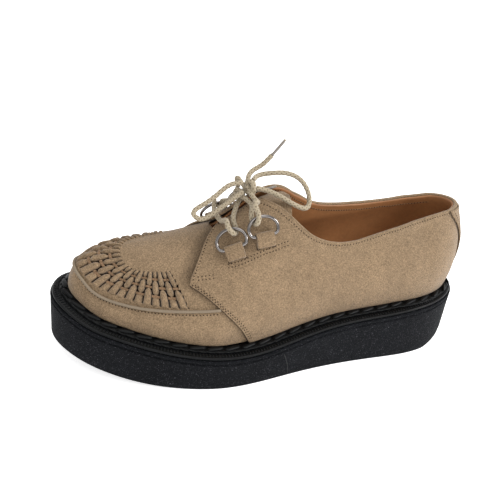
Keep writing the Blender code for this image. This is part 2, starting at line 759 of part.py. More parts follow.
def placed(frame_here, points):
    origin, across, up, normal = frame_here
    points = np.array(points, float)
    return origin + points[:, 0:1] * across + points[:, 1:2] * up + points[:, 2:3] * normal


BAR_OFF = 0.0036  # ring bar above the quarter
BAR_UP = 0.003  # ring bar from the ring's place up the section
RING_LONG = 0.0125  # ring bar to the middle of its arc
RING_HALF, RING_ROUND = 0.0100, 0.0080  # half width of the arc and its height
RING_RISE = 0.0016  # arc above the bar, lifted by the lace
TAB_HALF, TAB_LONG, TAB_THICK = 0.0062, 0.0050, 0.0011
TAB_HOLE = WIRE + 0.0004  # round the bar, inside the fold
ring_frames = {}
for number, (share, part, lean) in enumerate(RINGS, 1):
    for side, inner in (("outer", False), ("inner", True)):
        here = local_frame(share, part, inner, lean)
        ring_frames[number, side] = here
        arc = []
        for k in range(13):
            a = math.pi * k / 12
            arc.append((RING_HALF * math.cos(a), RING_LONG - RING_ROUND * (1 - math.sin(a))))
        corner_turn = [(-0.0098, 0.0026), (-0.0084, 0.0006), (-0.0062, 0.0)]
        other_turn = [(-x, y) for x, y in reversed(corner_turn)]
        flat = arc + corner_turn + [(0.0, 0.0)] + other_turn
        path = placed(here, [(x, y + BAR_UP, BAR_OFF + RING_RISE * y / RING_LONG) for x, y in flat])
        tube(f"d_ring_{number}_{side}", path, WIRE, NICKEL, 0.25, 1.0, closed=True, resolution=1)
        inside, outside_loop = [], []
        hole, reach = TAB_HOLE, TAB_HOLE + TAB_THICK
        for k in range(9):
            a = -math.pi / 2 + math.pi * k / 8
            inside.append((hole * math.cos(a) + BAR_UP, BAR_OFF + hole * math.sin(a)))
            outside_loop.append((reach * math.cos(a) + BAR_UP, BAR_OFF + reach * math.sin(a)))
        inside += [(-0.0005, BAR_OFF + hole * 0.7), (-0.0030, BAR_OFF - 0.0004), (-0.0005, BAR_OFF - hole * 0.9)]
        low_n = BAR_OFF - reach
        outside_loop += [(-0.0020, BAR_OFF + reach * 0.72), (-TAB_LONG, low_n + 0.0023), (-TAB_LONG + 0.001, low_n)]
        total = len(inside)
        verts = []
        for x in (-TAB_HALF, TAB_HALF):
            verts += [(x, y, z) for y, z in outside_loop] + [(x, y, z) for y, z in inside]
        faces = []
        for k in range(total):
            q = (k + 1) % total
            faces.append((k, q, q + 2 * total, k + 2 * total))
            faces.append((total + q, total + k, total + k + 2 * total, total + q + 2 * total))
            faces.append((q, k, total + k, total + q))
            faces.append((2 * total + k, 2 * total + q, 3 * total + q, 3 * total + k))
        finish_piece(f"ring_tab_{number}_{side}", placed(here, verts), faces, SUEDE, 0.9, smooth=False)


# Lace: one cord through the four rings, crossing between them, then a bow.
WRAP = WIRE + CORD + 0.0006  # middle of the cord from the middle of the ring's wire


def wrap(number, side, over_x, under_x):
    """The cord over the ring's arc, down through the ring and out under the arc."""
    top_off = BAR_OFF + RING_RISE

    def at(x, up, off):
        arc_up = BAR_UP + RING_LONG - RING_ROUND * (1 - math.sqrt(1 - (x / RING_HALF) ** 2))
        return x, arc_up + up, top_off + off

    points = [at(over_x, 0.0045, WRAP * 0.8)]
    for k in range(5):
        a = math.pi * k / 4
        points.append(at(over_x + (under_x - over_x) * k / 4, -WRAP * math.sin(a), WRAP * math.cos(a)))
    points.append(at(under_x, 0.0040, -WRAP * 0.75))
    return placed(ring_frames[number, side], points)


def above(share, part, inner, height):
    """A point over the quarters or tongue, at a height above the form."""
    turn = float(turn_of(share))
    point, normal = form_at(np.array([2 * np.pi - turn if inner else turn]), np.array([part]))
    return point + normal * (lift(share) + height)


def smooth_path(points, spacing=0.0055):
    """Evenly spaced points on a smooth curve through the given ones."""
    points = np.array(points, float)
    run = np.concatenate([[0], np.cumsum(np.linalg.norm(np.diff(points, axis=0), axis=1))])
    even = np.linspace(0, run[-1], max(3, int(round(run[-1] / spacing)) + 1))
    return np.column_stack([curve(run, points[:, k])(even) for k in range(3)])


OVER, TWICE = 0.0034, 0.0078  # heights of a cord over the form, alone and over another cord
crossings = np.concatenate(
    [
        wrap(2, "outer", 0.0024, 0.0054),
        above(0.562, 0.82, False, OVER),
        above(0.578, 0.99, False, TWICE),
        above(0.592, 0.88, True, OVER + 0.001),
        wrap(1, "inner", -0.0010, -0.0048)[::-1],
        above(0.622, 0.86, True, OVER + 0.001),
        above(0.628, 0.99, False, OVER + 0.001),
        above(0.622, 0.86, False, OVER + 0.001),
        wrap(1, "outer", -0.0010, -0.0048),
        above(0.594, 0.88, False, OVER),
        above(0.576, 0.99, True, OVER),
        above(0.562, 0.82, True, OVER),
        wrap(2, "inner", 0.0024, 0.0054)[::-1],
    ]
)
tube("lace_crossings", smooth_path(crossings, 0.0039), CORD, LACE, 0.9)

# Bow: the knot, two loops, two ends, and the two strands up from the rings.
KNOT = np.array([-0.0215, -0.0050, 0.1220])
KNOT_SIZE = np.array([0.0046, 0.0040, 0.0044])
bm = bmesh.new()
bmesh.ops.create_uvsphere(bm, u_segments=10, v_segments=7, radius=1.0)
for vert in bm.verts:
    vert.co = Vector(KNOT + np.array(vert.co) * KNOT_SIZE)
finish_bm("lace_knot", bm, bpy.data.meshes.new("lace_knot"), LACE, 0.9)


def from_knot(x, y, z, away=0.0053):
    """A point beside the knot, in the direction given."""
    direction = np.array([x, y, z], float)
    return tuple(KNOT + direction / np.linalg.norm(direction) * away)


BOW = {
    "lace_strand_outer": [
        tuple(placed(ring_frames[2, "outer"], [(0.0030, BAR_UP + RING_LONG + 0.0085, BAR_OFF + 0.0058)])[0]),
        (-0.0182, -0.0172, 0.1162),
        from_knot(0.15, -0.80, -0.60),
    ],
    "lace_strand_inner": [
        tuple(placed(ring_frames[2, "inner"], [(0.0030, BAR_UP + RING_LONG + 0.0085, BAR_OFF + 0.0058)])[0]),
        (-0.0195, 0.0110, 0.1165),
        from_knot(0.10, 0.90, -0.40),
    ],
    "lace_loop_left": [
        from_knot(-0.78, 0.30, 0.48),
        (-0.0330, -0.0035, 0.1236),
        (-0.0440, -0.0055, 0.1160),
        (-0.0536, -0.0072, 0.1100),
        (-0.0588, -0.0085, 0.1048),
        (-0.0562, -0.0100, 0.1023),
        (-0.0460, -0.0100, 0.1055),
        (-0.0353, -0.0090, 0.1132),
        from_knot(-0.80, -0.45, -0.40),
    ],
    "lace_loop_right": [
        from_knot(0.55, 0.20, 0.80),
        (-0.0138, 0.0010, 0.1280),
        (-0.0044, 0.0, 0.1302),
        (0.0075, -0.0020, 0.1304),
        (0.0158, -0.0050, 0.1266),
        (0.0200, -0.0080, 0.1206),
        (0.0212, -0.0115, 0.1135),
        (0.0182, -0.0150, 0.1105),
        (0.0120, -0.0158, 0.1117),
        (0.0031, -0.0135, 0.1160),
        (-0.0075, -0.0098, 0.1205),
        from_knot(0.90, -0.40, 0.05),
    ],
    "lace_end_upper": [
        from_knot(0.05, 0.80, 0.65),
        (-0.0175, 0.0040, 0.1300),
        (-0.0109, 0.0050, 0.1340),
        (-0.0067, 0.0040, 0.1388),
        (-0.0030, 0.0030, 0.1440),
        (0.0033, 0.0020, 0.1532),
    ],
    "lace_end_lower": [
        from_knot(0.75, 0.45, -0.45),
        (-0.0126, 0.0010, 0.1180),
        (-0.0054, 0.0045, 0.1170),
        (0.0030, 0.0085, 0.1175),
    ],
}
for name, points in BOW.items():
    tube(name, smooth_path(points, 0.0070), CORD, LACE, 0.9)

# The row's origin is in the middle of the sole's footprint, on the floor.
footprint = np.array([vert.co for vert in bpy.data.objects["outsole"].data.vertices])
centre = (footprint.min(0) + footprint.max(0)) / 2
for piece in home.objects:
    piece.data.transform(Matrix.Translation((-centre[0], -centre[1], 0.0)))
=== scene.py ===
# Looks of the left derby shoe: metres, toe toward -X, outer side toward -Y, standing on z = 0.
import math

import bmesh
import bpy
import numpy as np
from mathutils import Matrix, Vector


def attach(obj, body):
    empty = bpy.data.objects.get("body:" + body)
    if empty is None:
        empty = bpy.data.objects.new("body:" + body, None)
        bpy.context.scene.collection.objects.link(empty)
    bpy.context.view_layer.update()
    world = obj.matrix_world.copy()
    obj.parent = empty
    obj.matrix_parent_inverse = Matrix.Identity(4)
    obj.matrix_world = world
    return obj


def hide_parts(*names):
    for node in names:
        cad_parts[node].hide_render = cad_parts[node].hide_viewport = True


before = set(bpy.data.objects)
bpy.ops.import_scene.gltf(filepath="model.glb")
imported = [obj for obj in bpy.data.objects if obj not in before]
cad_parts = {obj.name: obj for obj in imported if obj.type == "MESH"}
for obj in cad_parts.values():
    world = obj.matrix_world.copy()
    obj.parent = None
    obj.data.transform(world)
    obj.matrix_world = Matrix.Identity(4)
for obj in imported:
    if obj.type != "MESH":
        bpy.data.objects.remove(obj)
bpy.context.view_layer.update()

# The form is worked out with its own origin; the row's origin is in the middle of the sole's footprint.
MIDDLE = np.array([0.0006, -0.0022046, 0.0])

# Camera at the photograph's angle.
YAW, PITCH, ROLL = 18.05, 25.81, 5.91
EYE = (-0.1377, -0.3701, 0.2605)
FOCAL, TALL = 603.1, 500  # focal length and height of the picture, in its pixels
SENSOR = 36  # the camera's sensor, in millimetres


def linked(name, data):
    """A new object in the scene."""
    piece = bpy.data.objects.new(name, data)
    bpy.context.scene.collection.objects.link(piece)
    return piece


def set_camera():
    yaw, pitch, roll = (math.radians(angle) for angle in (YAW, PITCH, ROLL))
    ahead = Vector((math.sin(yaw) * math.cos(pitch), math.cos(yaw) * math.cos(pitch), -math.sin(pitch)))
    level = Vector((math.cos(yaw), -math.sin(yaw), 0))
    up = level.cross(ahead)
    right = level * math.cos(roll) + up * math.sin(roll)
    top = up * math.cos(roll) - level * math.sin(roll)
    lens = bpy.data.cameras.new("camera")
    lens.sensor_width = SENSOR
    lens.lens = FOCAL * SENSOR / TALL
    lens.clip_start = 0.01
    camera = linked("camera", lens)
    turned = Matrix((right, top, -ahead)).transposed().to_4x4()
    camera.matrix_world = Matrix.Translation(Vector(EYE) - Vector(MIDDLE)) @ turned
    bpy.context.scene.camera = camera


set_camera()

# Named sizes, in metres.
LENGTH = 0.305  # outsole from heel to toe
BALL = 0.117  # outsole across the ball
HEEL = 0.0427  # crepe under the heel
SPRING = 0.0169  # toe lifted off the floor
FLARE = 0.0014  # top of the crepe wider than its bottom, at the sides
LEDGE = 0.0116  # crepe edge to the upper, at sides and toe
HEEL_LEDGE = 0.0057
MIDSOLE = 0.0022
WELT = 0.0025
GAP = 0.0003
LEATHER = 0.0014  # suede of the quarters
LINING = 0.0014  # wall of the vamp and lining
APART = 0.0006  # between two curved layers
TOE_FAN = -0.0955  # x where the sections of the toe meet on the ridge
HEEL_FAN = 0.1085
CORE = 0.04  # height of a line inside the shoe, which every outward normal points away from
STEP = 0.004  # step of the turn and of the part that gives directions along the form
CORNER = 0.28  # part of a section that is wall, below the apron seam
THROAT_END = 0.65  # share of the length ahead of which the vamp runs up to the ridge
WIRE = 0.0011  # radius of the ring wire
CORD = 0.0017  # radius of the lace
INSTEP = 0.118  # height of the top of the facings

# share of the length, outer half width, inner half width, top of the crepe; widths by BALL, height by HEEL
SOLE = [
    (0.00, 0.000, 0.000, 1.000),
    (0.03, 0.204, 0.197, 0.984),
    (0.08, 0.303, 0.291, 0.951),
    (0.15, 0.362, 0.338, 0.903),
    (0.25, 0.384, 0.333, 0.833),
    (0.35, 0.405, 0.312, 0.777),
    (0.45, 0.446, 0.321, 0.666),
    (0.55, 0.503, 0.376, 0.549),
    (0.65, 0.530, 0.453, 0.541),
    (0.72, 0.504, 0.488, 0.580),
    (0.80, 0.451, 0.485, 0.670),
    (0.87, 0.381, 0.444, 0.769),
    (0.93, 0.293, 0.361, 0.876),
    (0.97, 0.197, 0.250, 1.000),
    (1.00, 0.000, 0.000, 1.098),
]
# share of the length, height of the ridge by INSTEP, ridge off the middle by BALL
RIDGE = [
    (0.144, 1.398, -0.010),
    (0.300, 1.314, -0.017),
    (0.370, 1.254, -0.017),
    (0.465, 1.127, -0.017),
    (0.520, 1.038, -0.017),
    (0.565, 0.958, -0.017),
    (0.600, 0.881, -0.013),
    (0.627, 0.826, -0.009),
    (0.655, 0.788, -0.004),
    (0.700, 0.754, 0.000),
    (0.755, 0.720, 0.009),
    (0.813, 0.695, 0.015),
]
# share of the length, height and lean of the wall by HEEL, power of the dome, swell of the wall by HEEL
VAMP = [
    (0.000, 0.796, 0.094, 2.0, 0.070),
    (0.200, 0.796, 0.082, 2.0, 0.070),
    (0.450, 0.796, 0.070, 2.0, 0.082),
    (0.600, 0.703, 0.070, 2.0, 0.070),
    (0.655, 0.644, 0.070, 2.0, 0.061),
    (0.727, 0.562, 0.070, 2.0, 0.056),
    (0.787, 0.468, 0.075, 2.1, 0.052),
    (0.841, 0.386, 0.084, 2.2, 0.047),
    (0.894, 0.335, 0.094, 2.4, 0.042),
    (0.945, 0.309, 0.105, 2.8, 0.037),
    (0.970, 0.340, 0.117, 3.2, 0.033),
    (1.000, 0.363, 0.129, 3.6, 0.028),
]
# share of the length, lean of the outer and inner side, swell of each by HEEL, height of the swell by HEEL
QUARTER = [
    (0.000, 0.50, 0.50, 0.098, 0.098, 1.36),
    (0.030, 1.30, 0.90, 0.098, 0.098, 1.33),
    (0.080, 2.50, 1.50, 0.098, 0.098, 1.31),
    (0.136, 3.00, 1.50, 0.098, 0.098, 1.26),
    (0.200, 2.20, 1.10, 0.089, 0.098, 1.22),
    (0.280, 1.80, 0.90, 0.080, 0.098, 1.19),
    (0.370, 1.80, 0.95, 0.075, 0.098, 1.17),
    (0.465, 1.55, 1.00, 0.066, 0.094, 1.12),
    (0.560, 1.15, 1.00, 0.047, 0.059, 1.05),
    (0.650, 1.00, 1.00, 0.023, 0.023, 1.05),
    (0.750, 1.00, 1.00, 0.023, 0.023, 1.05),
]
# share of the length, height of the collar on the outer and inner side by INSTEP
COLLAR = [
    (0.000, 0.928, 0.928),
    (0.030, 0.915, 0.914),
    (0.055, 0.907, 0.899),
    (0.080, 0.899, 0.886),
    (0.115, 0.888, 0.873),
    (0.170, 0.866, 0.853),
    (0.210, 0.843, 0.840),
    (0.250, 0.820, 0.832),
    (0.288, 0.794, 0.832),
    (0.325, 0.771, 0.836),
    (0.358, 0.765, 0.844),
    (0.389, 0.775, 0.869),
    (0.412, 0.792, 0.904),
    (0.435, 0.821, 0.935),
    (0.455, 0.861, 0.968),
    (0.474, 0.903, 0.989),
    (0.494, 0.941, 0.996),
    (0.514, 0.969, 0.992),
    (0.533, 0.981, 0.985),
]
# share of the length, part of the section: front edge of a quarter from the welt by its tip to the throat
FRONT = [
    (0.575, 0.000),
    (0.600, 0.107),
    (0.623, 0.188),
    (0.645, 0.255),
    (0.660, 0.289),
    (0.690, 0.360),
    (0.719, 0.427),
    (0.715, 0.470),
    (0.701, 0.556),
    (0.686, 0.652),
    (0.675, 0.728),
    (0.661, 0.814),
    (0.646, 0.890),
    (0.633, 0.935),
]
# share of the length, part of the section: throat edge of a quarter from its top corner forward
THROAT = [(0.548, 0.885), (0.562, 0.912), (0.585, 0.924), (0.610, 0.930), (0.633, 0.935)]


def run_of(points):
    """The distance along a polyline at each of its points."""
    return np.concatenate([[0], np.cumsum(np.linalg.norm(np.diff(points, axis=0), axis=1))])


def at_marks(run, values, marks):
    """Columns of values, known at run, read at marks."""
    return np.column_stack([np.interp(marks, run, values[:, k]) for k in range(values.shape[1])])


def round_angles(count):
    return np.arange(count) * 2 * np.pi / count


def on_side(turn, inner):
    """A turn of the outer side, or its like on the inner side."""
    return 2 * np.pi - turn if inner else turn


def both_sides(turn):
    """Turns of the outer side up to the toe, then back along the inner side."""
    return np.concatenate([turn, 2 * np.pi - turn[-2::-1]])


def second(xs, ys, around):
    """Second derivatives of the cubic through the points, natural or closed after the distance around."""
    n = len(xs)
    h = np.diff(np.append(xs, xs[0] + around)) if around else np.diff(xs)
    a = np.zeros((n, n))
    b = np.zeros(n)
    for i in range(n):
        if not around and i in (0, n - 1):
            a[i, i] = 1.0
            continue
        before, after = (i - 1) % n, (i + 1) % n
        a[i, before] += h[i - 1]
        a[i, i] += 2 * (h[i - 1] + h[i])
        a[i, after] += h[i]
        b[i] = 6 * ((ys[after] - ys[i]) / h[i] - (ys[i] - ys[before]) / h[i - 1])
    return np.linalg.solve(a, b)


def curve(xs, ys, around=None):
    """A smooth function through the points."""
    xs, ys = np.array(xs, float), np.array(ys, float)
    m = second(xs, ys, around)
    if around:
        xs, ys, m = np.append(xs, xs[0] + around), np.append(ys, ys[0]), np.append(m, m[0])

    def at(x):
        x = np.asarray(x, float)
        x = xs[0] + np.mod(x - xs[0], around) if around else np.clip(x, xs[0], xs[-1])
        i = np.clip(np.searchsorted(xs, x, side="right") - 1, 0, len(xs) - 2)
        h = xs[i + 1] - xs[i]
        a, b = (xs[i + 1] - x) / h, (x - xs[i]) / h
        return a * ys[i] + b * ys[i + 1] + ((a**3 - a) * m[i] + (b**3 - b) * m[i + 1]) * h * h / 6

    return at


def steady(xs, ys):
    """A smooth function through the points that never overshoots them."""
    xs, ys = np.array(xs, float), np.array(ys, float)
    h = np.diff(xs)
    d = np.diff(ys) / h
    m = np.concatenate([[d[0]], np.zeros(len(d) - 1), [d[-1]]])
    for i in range(1, len(d)):
        if d[i - 1] * d[i] > 0:
            before, after = 2 * h[i] + h[i - 1], h[i] + 2 * h[i - 1]
            m[i] = (before + after) / (before / d[i - 1] + after / d[i])

    def at(x):
        x = np.clip(np.asarray(x, float), xs[0], xs[-1])
        i = np.clip(np.searchsorted(xs, x, side="right") - 1, 0, len(xs) - 2)
        t = (x - xs[i]) / h[i]
        rise = (1 + 2 * t) * (1 - t) ** 2 * ys[i] + t * (1 - t) ** 2 * h[i] * m[i]
        return rise + t * t * (3 - 2 * t) * ys[i + 1] + t * t * (t - 1) * h[i] * m[i + 1]

    return at


def column(table, index, size=1.0, kind=steady):
    return kind([row[0] for row in table], [row[index] * size for row in table])


def turn_of(share):
    """The angle round the outline at this share of the length: 0 at the heel, pi at the toe."""
    return np.arccos(1 - 2 * np.clip(np.asarray(share, float), 0, 1))


def share_of(turn):
    return (1 - np.cos(turn)) / 2


def toward(value, start, end):
    return np.clip((np.asarray(value, float) - start) / (end - start), 0, 1)


def soft(value, start, end):
    t = toward(value, start, end)
    return t * t * (3 - 2 * t)


sole = np.array(SOLE)
half = turn_of(sole[:, 0])
side_y = curve(
    np.concatenate([half, 2 * np.pi - half[-2:0:-1]]),
    np.concatenate([-sole[:, 1], sole[-2:0:-1, 2]]) * BALL,
    2 * np.pi,
)
top_z = column(SOLE, 3, HEEL, curve)
ridge_z = column(RIDGE, 1, INSTEP, curve)
ridge_y = column(RIDGE, 2, BALL, curve)
wall_rise, wall_lean, dome = column(VAMP, 1, HEEL), column(VAMP, 2, HEEL), column(VAMP, 3)
wall_swell = column(VAMP, 4, HEEL)
lean_outer, lean_inner = column(QUARTER, 1), column(QUARTER, 2)
swell_outer, swell_inner = column(QUARTER, 3, HEEL), column(QUARTER, 4, HEEL)
swell_top = column(QUARTER, 5, HEEL)
collar_outer, collar_inner = column(COLLAR, 1, INSTEP), column(COLLAR, 2, INSTEP)


def edge(turn, out=0.0):
    """Plan of the crepe's bottom edge moved outwards; the outer side is the first half turn."""
    turn = np.atleast_1d(np.asarray(turn, float))

    def at(angle):
        return np.stack([(0.5 - share_of(angle)) * LENGTH, side_y(angle)], -1)

    along = at(turn + 1e-4) - at(turn - 1e-4)
    along /= np.linalg.norm(along, axis=-1, keepdims=True)
    outward = np.stack([-along[..., 1], along[..., 0]], -1)
    return at(turn) + outward * (np.asarray(out) + np.zeros(len(turn)))[:, None]


def flare(share):
    toe, heel = toward(share, 0.75, 1.0), toward(share, 0.2, 0.0)
    return FLARE * (1 - toe) * (1 - heel) - 0.0005 * toe + 0.0012 * heel


def ledge(share):
    heel = toward(share, 0.2, 0.0)
    return LEDGE * (1 - heel) + HEEL_LEDGE * heel


def floor_z(share):
    """The crepe's bottom: flat from heel to ball, then rising to the toe."""
    return SPRING * toward(share, 0.70, 1.0) ** 2


def foot(turn):
    """Where the upper meets the welt."""
    share = share_of(turn)
    return np.column_stack([edge(turn, flare(share) - ledge(share)), top_z(share) + MIDSOLE + WELT])


def spine(turn):
    x = np.clip((0.5 - share_of(turn)) * LENGTH, TOE_FAN, HEEL_FAN)
    share = 0.5 - x / LENGTH
    return np.column_stack([x, ridge_y(share), ridge_z(share)])


def outward_of(turn):
    away = (edge(turn, 0.001) - edge(turn, 0.0)) / 0.001
    return np.column_stack([away, np.zeros(len(away))])


def sides(turn, outer, inner):
    share = share_of(turn)
    return np.where(np.mod(turn, 2 * np.pi) <= np.pi, outer(share), inner(share))


def vamp_section(turn, part):
    """A wall up to the apron seam, then the domed apron to the ridge."""
    share = share_of(turn)
    p, q = foot(turn), spine(turn)
    k_plan = edge(turn, flare(share) - ledge(share) - wall_lean(share))
    k = np.column_stack([k_plan, p[:, 2] + wall_rise(share)])
    a = np.clip(part / CORNER, 0, 1)[..., None]
    swell = outward_of(turn)[:, None] * wall_swell(share)[:, None, None] * 4 * a * (1 - a)
    wall = p[:, None] * (1 - a) + k[:, None] * a + swell
    b = np.clip((part - CORNER) / (1 - CORNER), 0, 1)
    fan = 0.5 - TOE_FAN / LENGTH
    slope = (ridge_z(fan) - ridge_z(fan - 0.01 / LENGTH)) / -0.01
    plan = k[:, None, :2] * (1 - b[..., None]) + q[:, None, :2] * b[..., None]
    drop = q[:, 2] + slope * (k[:, 0] - q[:, 0]) - k[:, 2]
    fall = drop[:, None] * (1 - b) ** dome(share)[:, None]
    z = q[:, None, 2] + slope * (plan[..., 0] - q[:, None, 0]) - fall
    roof = np.concatenate([plan, z[..., None]], -1)
    return np.where(part[..., None] < CORNER, wall, roof)


def quarter_section(turn, part):
    """A wall that swells above the welt and leans in toward the ridge."""
    share = share_of(turn)
    p, q = foot(turn), spine(turn)
    angle = part * np.pi / 2
    inward = 1 - np.cos(angle) ** sides(turn, lean_outer, lean_inner)[:, None]
    z = p[:, 2:3] + (q[:, 2:3] - p[:, 2:3]) * np.sin(angle)
    up = np.clip((z - p[:, 2:3]) / swell_top(share)[:, None], 0, 1)
    swell = sides(turn, swell_outer, swell_inner)[:, None] * 4 * up * (1 - up)
    plan = p[:, None, :2] * (1 - inward[..., None]) + q[:, None, :2] * inward[..., None]
    plan = plan + outward_of(turn)[:, None, :2] * swell[..., None]
    return np.concatenate([plan, z[..., None]], -1)


def form(turn, part):
    """The shoe's outer form: one section for each turn, with part from 0 at the welt to 1 at the ridge."""
    turn = np.atleast_1d(np.asarray(turn, float))
    part = np.broadcast_to(np.asarray(part, float), (len(turn), np.shape(part)[-1]))
    mix = soft(share_of(turn), 0.56, 0.66)[:, None, None]
    return quarter_section(turn, part) * (1 - mix) + vamp_section(turn, part) * mix


def form_at(turn, part):
    """Points of the form at matched turns and parts of any one shape, with their outward normals."""
    turn, part = np.broadcast_arrays(np.asarray(turn, float), np.asarray(part, float))
    t, w = turn.reshape(-1), part.reshape(-1)

    def at(a, b):
        return form(a, b[:, None])[:, 0]

    here = at(t, w)
    step_w = np.where(w < 0.5, STEP, -STEP)
    up = (at(t, w + step_w) - here) * np.sign(step_w)[:, None]
    along = at(t + STEP, w) - at(t - STEP, w)
    normal = np.cross(along, up)
    normal /= np.linalg.norm(normal, axis=1, keepdims=True) + 1e-12
    centre = np.zeros(here.shape) + [0, 0, CORE]
    centre[:, 0] = np.clip(here[:, 0], TOE_FAN, HEEL_FAN)
    flip = np.sign(((here - centre) * normal).sum(1))
    normal *= np.where(flip == 0, 1, flip)[:, None]
    return here.reshape(turn.shape + (3,)), normal.reshape(turn.shape + (3,))


def lift(share):
    """How far the quarters' outer face stands off the form, where they lie over the vamp."""
    return (LEATHER + APART) * soft(share, 0.56, 0.68)


def part_at_height(turn, z):
    """The part of a section at which it first reaches a height."""
    steps = np.linspace(0, 1, 241)
    rows = form(np.atleast_1d(turn), steps)[..., 2]
    return np.array([np.interp(h, row, steps) for h, row in zip(np.atleast_1d(z), rows)])


def collar_part(turn, inner):
    share = share_of(turn)
    return part_at_height(turn, (collar_inner if inner else collar_outer)(share))


def along_line(points, marks):
    """Points of a polyline at shares of its length, measured on the shoe's form."""
    points = np.array(points, float)
    stretches = [np.linspace(a, b, 9)[:-1] for a, b in zip(points[:-1], points[1:])]
    fine = np.concatenate(stretches + [points[-1:]])
    there, _ = form_at(fine[:, 0], fine[:, 1])
    run = run_of(there)
    return at_marks(run, fine, np.array(marks) * run[-1])


# Materials: each is a small tree of noise, bump and colour over a Principled shader.
def add(tree, kind, inputs=None, **settings):
    """A node with its settings; an input that is a socket is linked, any other is set."""
    node = tree.nodes.new(kind)
    for key, value in settings.items():
        setattr(node, key, value)
    for key, value in (inputs or {}).items():
        if isinstance(value, bpy.types.NodeSocket):
            tree.links.new(value, node.inputs[key])
        else:
            node.inputs[key].default_value = value
    return node


def noise(tree, scale, detail=2.0, rough=0.5):
    place = add(tree, "ShaderNodeTexCoord").outputs["Object"]
    inputs = {"Vector": place, "Scale": scale, "Detail": detail, "Roughness": rough}
    return add(tree, "ShaderNodeTexNoise", inputs).outputs["Fac"]


def ramp(tree, factor, stops):
    """A colour ramp with a stop for each (position, colour)."""
    made = add(tree, "ShaderNodeValToRGB", {"Fac": factor})
    bar = made.color_ramp.elements
    while len(bar) < len(stops):
        bar.new(0.5)
    for element, (place, colour) in zip(bar, stops):
        element.position = place
        element.color = (*colour, 1) if len(colour) == 3 else colour
    return made.outputs["Color"]


def blend(tree, factor, a, b, kind="MIX"):
    made = add(tree, "ShaderNodeMix", data_type="RGBA", blend_type=kind)
    for name, sort, value in (("Factor", "VALUE", factor), ("A", "RGBA", a), ("B", "RGBA", b)):
        slot = next(s for s in made.inputs if s.name == name and s.type == sort)
        if isinstance(value, bpy.types.NodeSocket):
            tree.links.new(value, slot)
        else:
            slot.default_value = value if sort == "VALUE" else (*value, 1)
    return next(s for s in made.outputs if s.type == "RGBA")


def surface(name, colour, rough, bumps=(), spread=(), specks=None, painted=None, metal=0.0, **constants):
    """A material; spread is rows of (scale, detail, amount), bumps of (scale, detail, strength, depth)."""
    made = bpy.data.materials.new(name)
    made.use_nodes = True
    tree = made.node_tree
    shader = tree.nodes["Principled BSDF"]
    shader.inputs["Metallic"].default_value = metal
    shader.inputs["Roughness"].default_value = rough
    for key, value in constants.items():
        shader.inputs[key.replace("_", " ").title().replace("Ior", "IOR")].default_value = value
    shade = ramp(tree, noise(tree, 40.0), [(0.0, colour), (1.0, colour)])
    for scale, detail, amount in spread:
        stops = [(0.3, (1 - amount,) * 3), (0.7, (1 + amount * 0.5,) * 3)]
        shade = blend(tree, 1.0, shade, ramp(tree, noise(tree, scale, detail), stops), "MULTIPLY")
    if specks:
        scale, start, other = specks
        mask = ramp(tree, noise(tree, scale, 1.0), [(start, (0, 0, 0)), (start + 0.1, (1, 1, 1))])
        shade = blend(tree, mask, shade, other)
    # Painted shade: the mesh's tone, through the painted ramp, darkens the colour in the weave's slits,
    # ahead of the quarters and between the lace's strands; the weave's pink bands come through it too.
    if painted:
        tone = add(tree, "ShaderNodeAttribute", attribute_name="tone").outputs["Fac"]
        shade = blend(tree, 1.0, shade, ramp(tree, tone, painted), "MULTIPLY")
    tree.links.new(shade, shader.inputs["Base Color"])
    normal = None
    for scale, detail, strength, depth in bumps:
        inputs = {"Height": noise(tree, scale, detail, 0.6), "Strength": strength, "Distance": depth}
        if normal:
            inputs["Normal"] = normal
        normal = add(tree, "ShaderNodeBump", inputs).outputs["Normal"]
    if normal:
        tree.links.new(normal, shader.inputs["Normal"])
    return made


SUEDE, PIPE, LACE = (0.264, 0.182, 0.108), (0.195, 0.148, 0.098), (0.37, 0.31, 0.22)
TAN, PEACH, THREAD = (0.34, 0.15, 0.056), (0.62, 0.33, 0.17), (0.28, 0.19, 0.105)
BLACK, RUBBER, CREPE = (0.0045, 0.0048, 0.005), (0.004, 0.0045, 0.005), (0.0055, 0.0062, 0.0075)
NICKEL, HOLE, AGLET_PALE = (0.23, 0.21, 0.20), (0.035, 0.018, 0.009), (0.20, 0.175, 0.15)
NAP = [(900.0, 3.0, 0.55, 0.0008), (3200.0, 2.0, 0.40, 0.0004), (160.0, 3.0, 0.25, 0.0012)]
SHADES = [(26.0, 2.0, 0.09), (150.0, 3.0, 0.10), (1300.0, 2.0, 0.48)]
# Ramp over the tone: its low stop is painted shade for the slit floors and the vamp ahead of the quarters;
# its top stop is the pink bands' own colour.
WOVEN_SHADE_AND_PINK = [(0.0, (0.05, 0.03, 0.018)), (0.45, (1, 1, 1)), (0.6, (1, 1, 1)), (0.8, (0.97, 0.86, 0.82))]
# Ramp over the lace's tone: painted shade, dark in the valleys between the braid's strands.
BRAID_SHADE = [(0.12, (0.30, 0.25, 0.19)), (0.60, (1, 1, 1))]
nap = dict(sheen_weight=0.22, sheen_roughness=0.45, specular_ior_level=0.12)
suede = surface("suede", SUEDE, 0.92, NAP, SHADES, **nap)
suede_woven = surface("suede_woven", SUEDE, 0.90, NAP, SHADES, painted=WOVEN_SHADE_AND_PINK, **nap)
piping_leather = surface("piping_leather", PIPE, 0.62, [(900.0, 3.0, 0.25, 0.0003)], [(60.0, 2.0, 0.05)])
shades = [(30.0, 3.0, 0.16), (400.0, 3.0, 0.10)]
lining_leather = surface("lining_leather", TAN, 0.52, [(700.0, 4.0, 0.25, 0.0004)], shades)
peach_leather = surface("peach_leather", PEACH, 0.7, [(900.0, 3.0, 0.3, 0.0003)], [(90.0, 2.0, 0.08)])
crumb = [(900.0, 4.0, 0.9, 0.0012), (260.0, 3.0, 0.35, 0.0012)]
pale_specks = (1900.0, 0.64, (0.09, 0.087, 0.10))
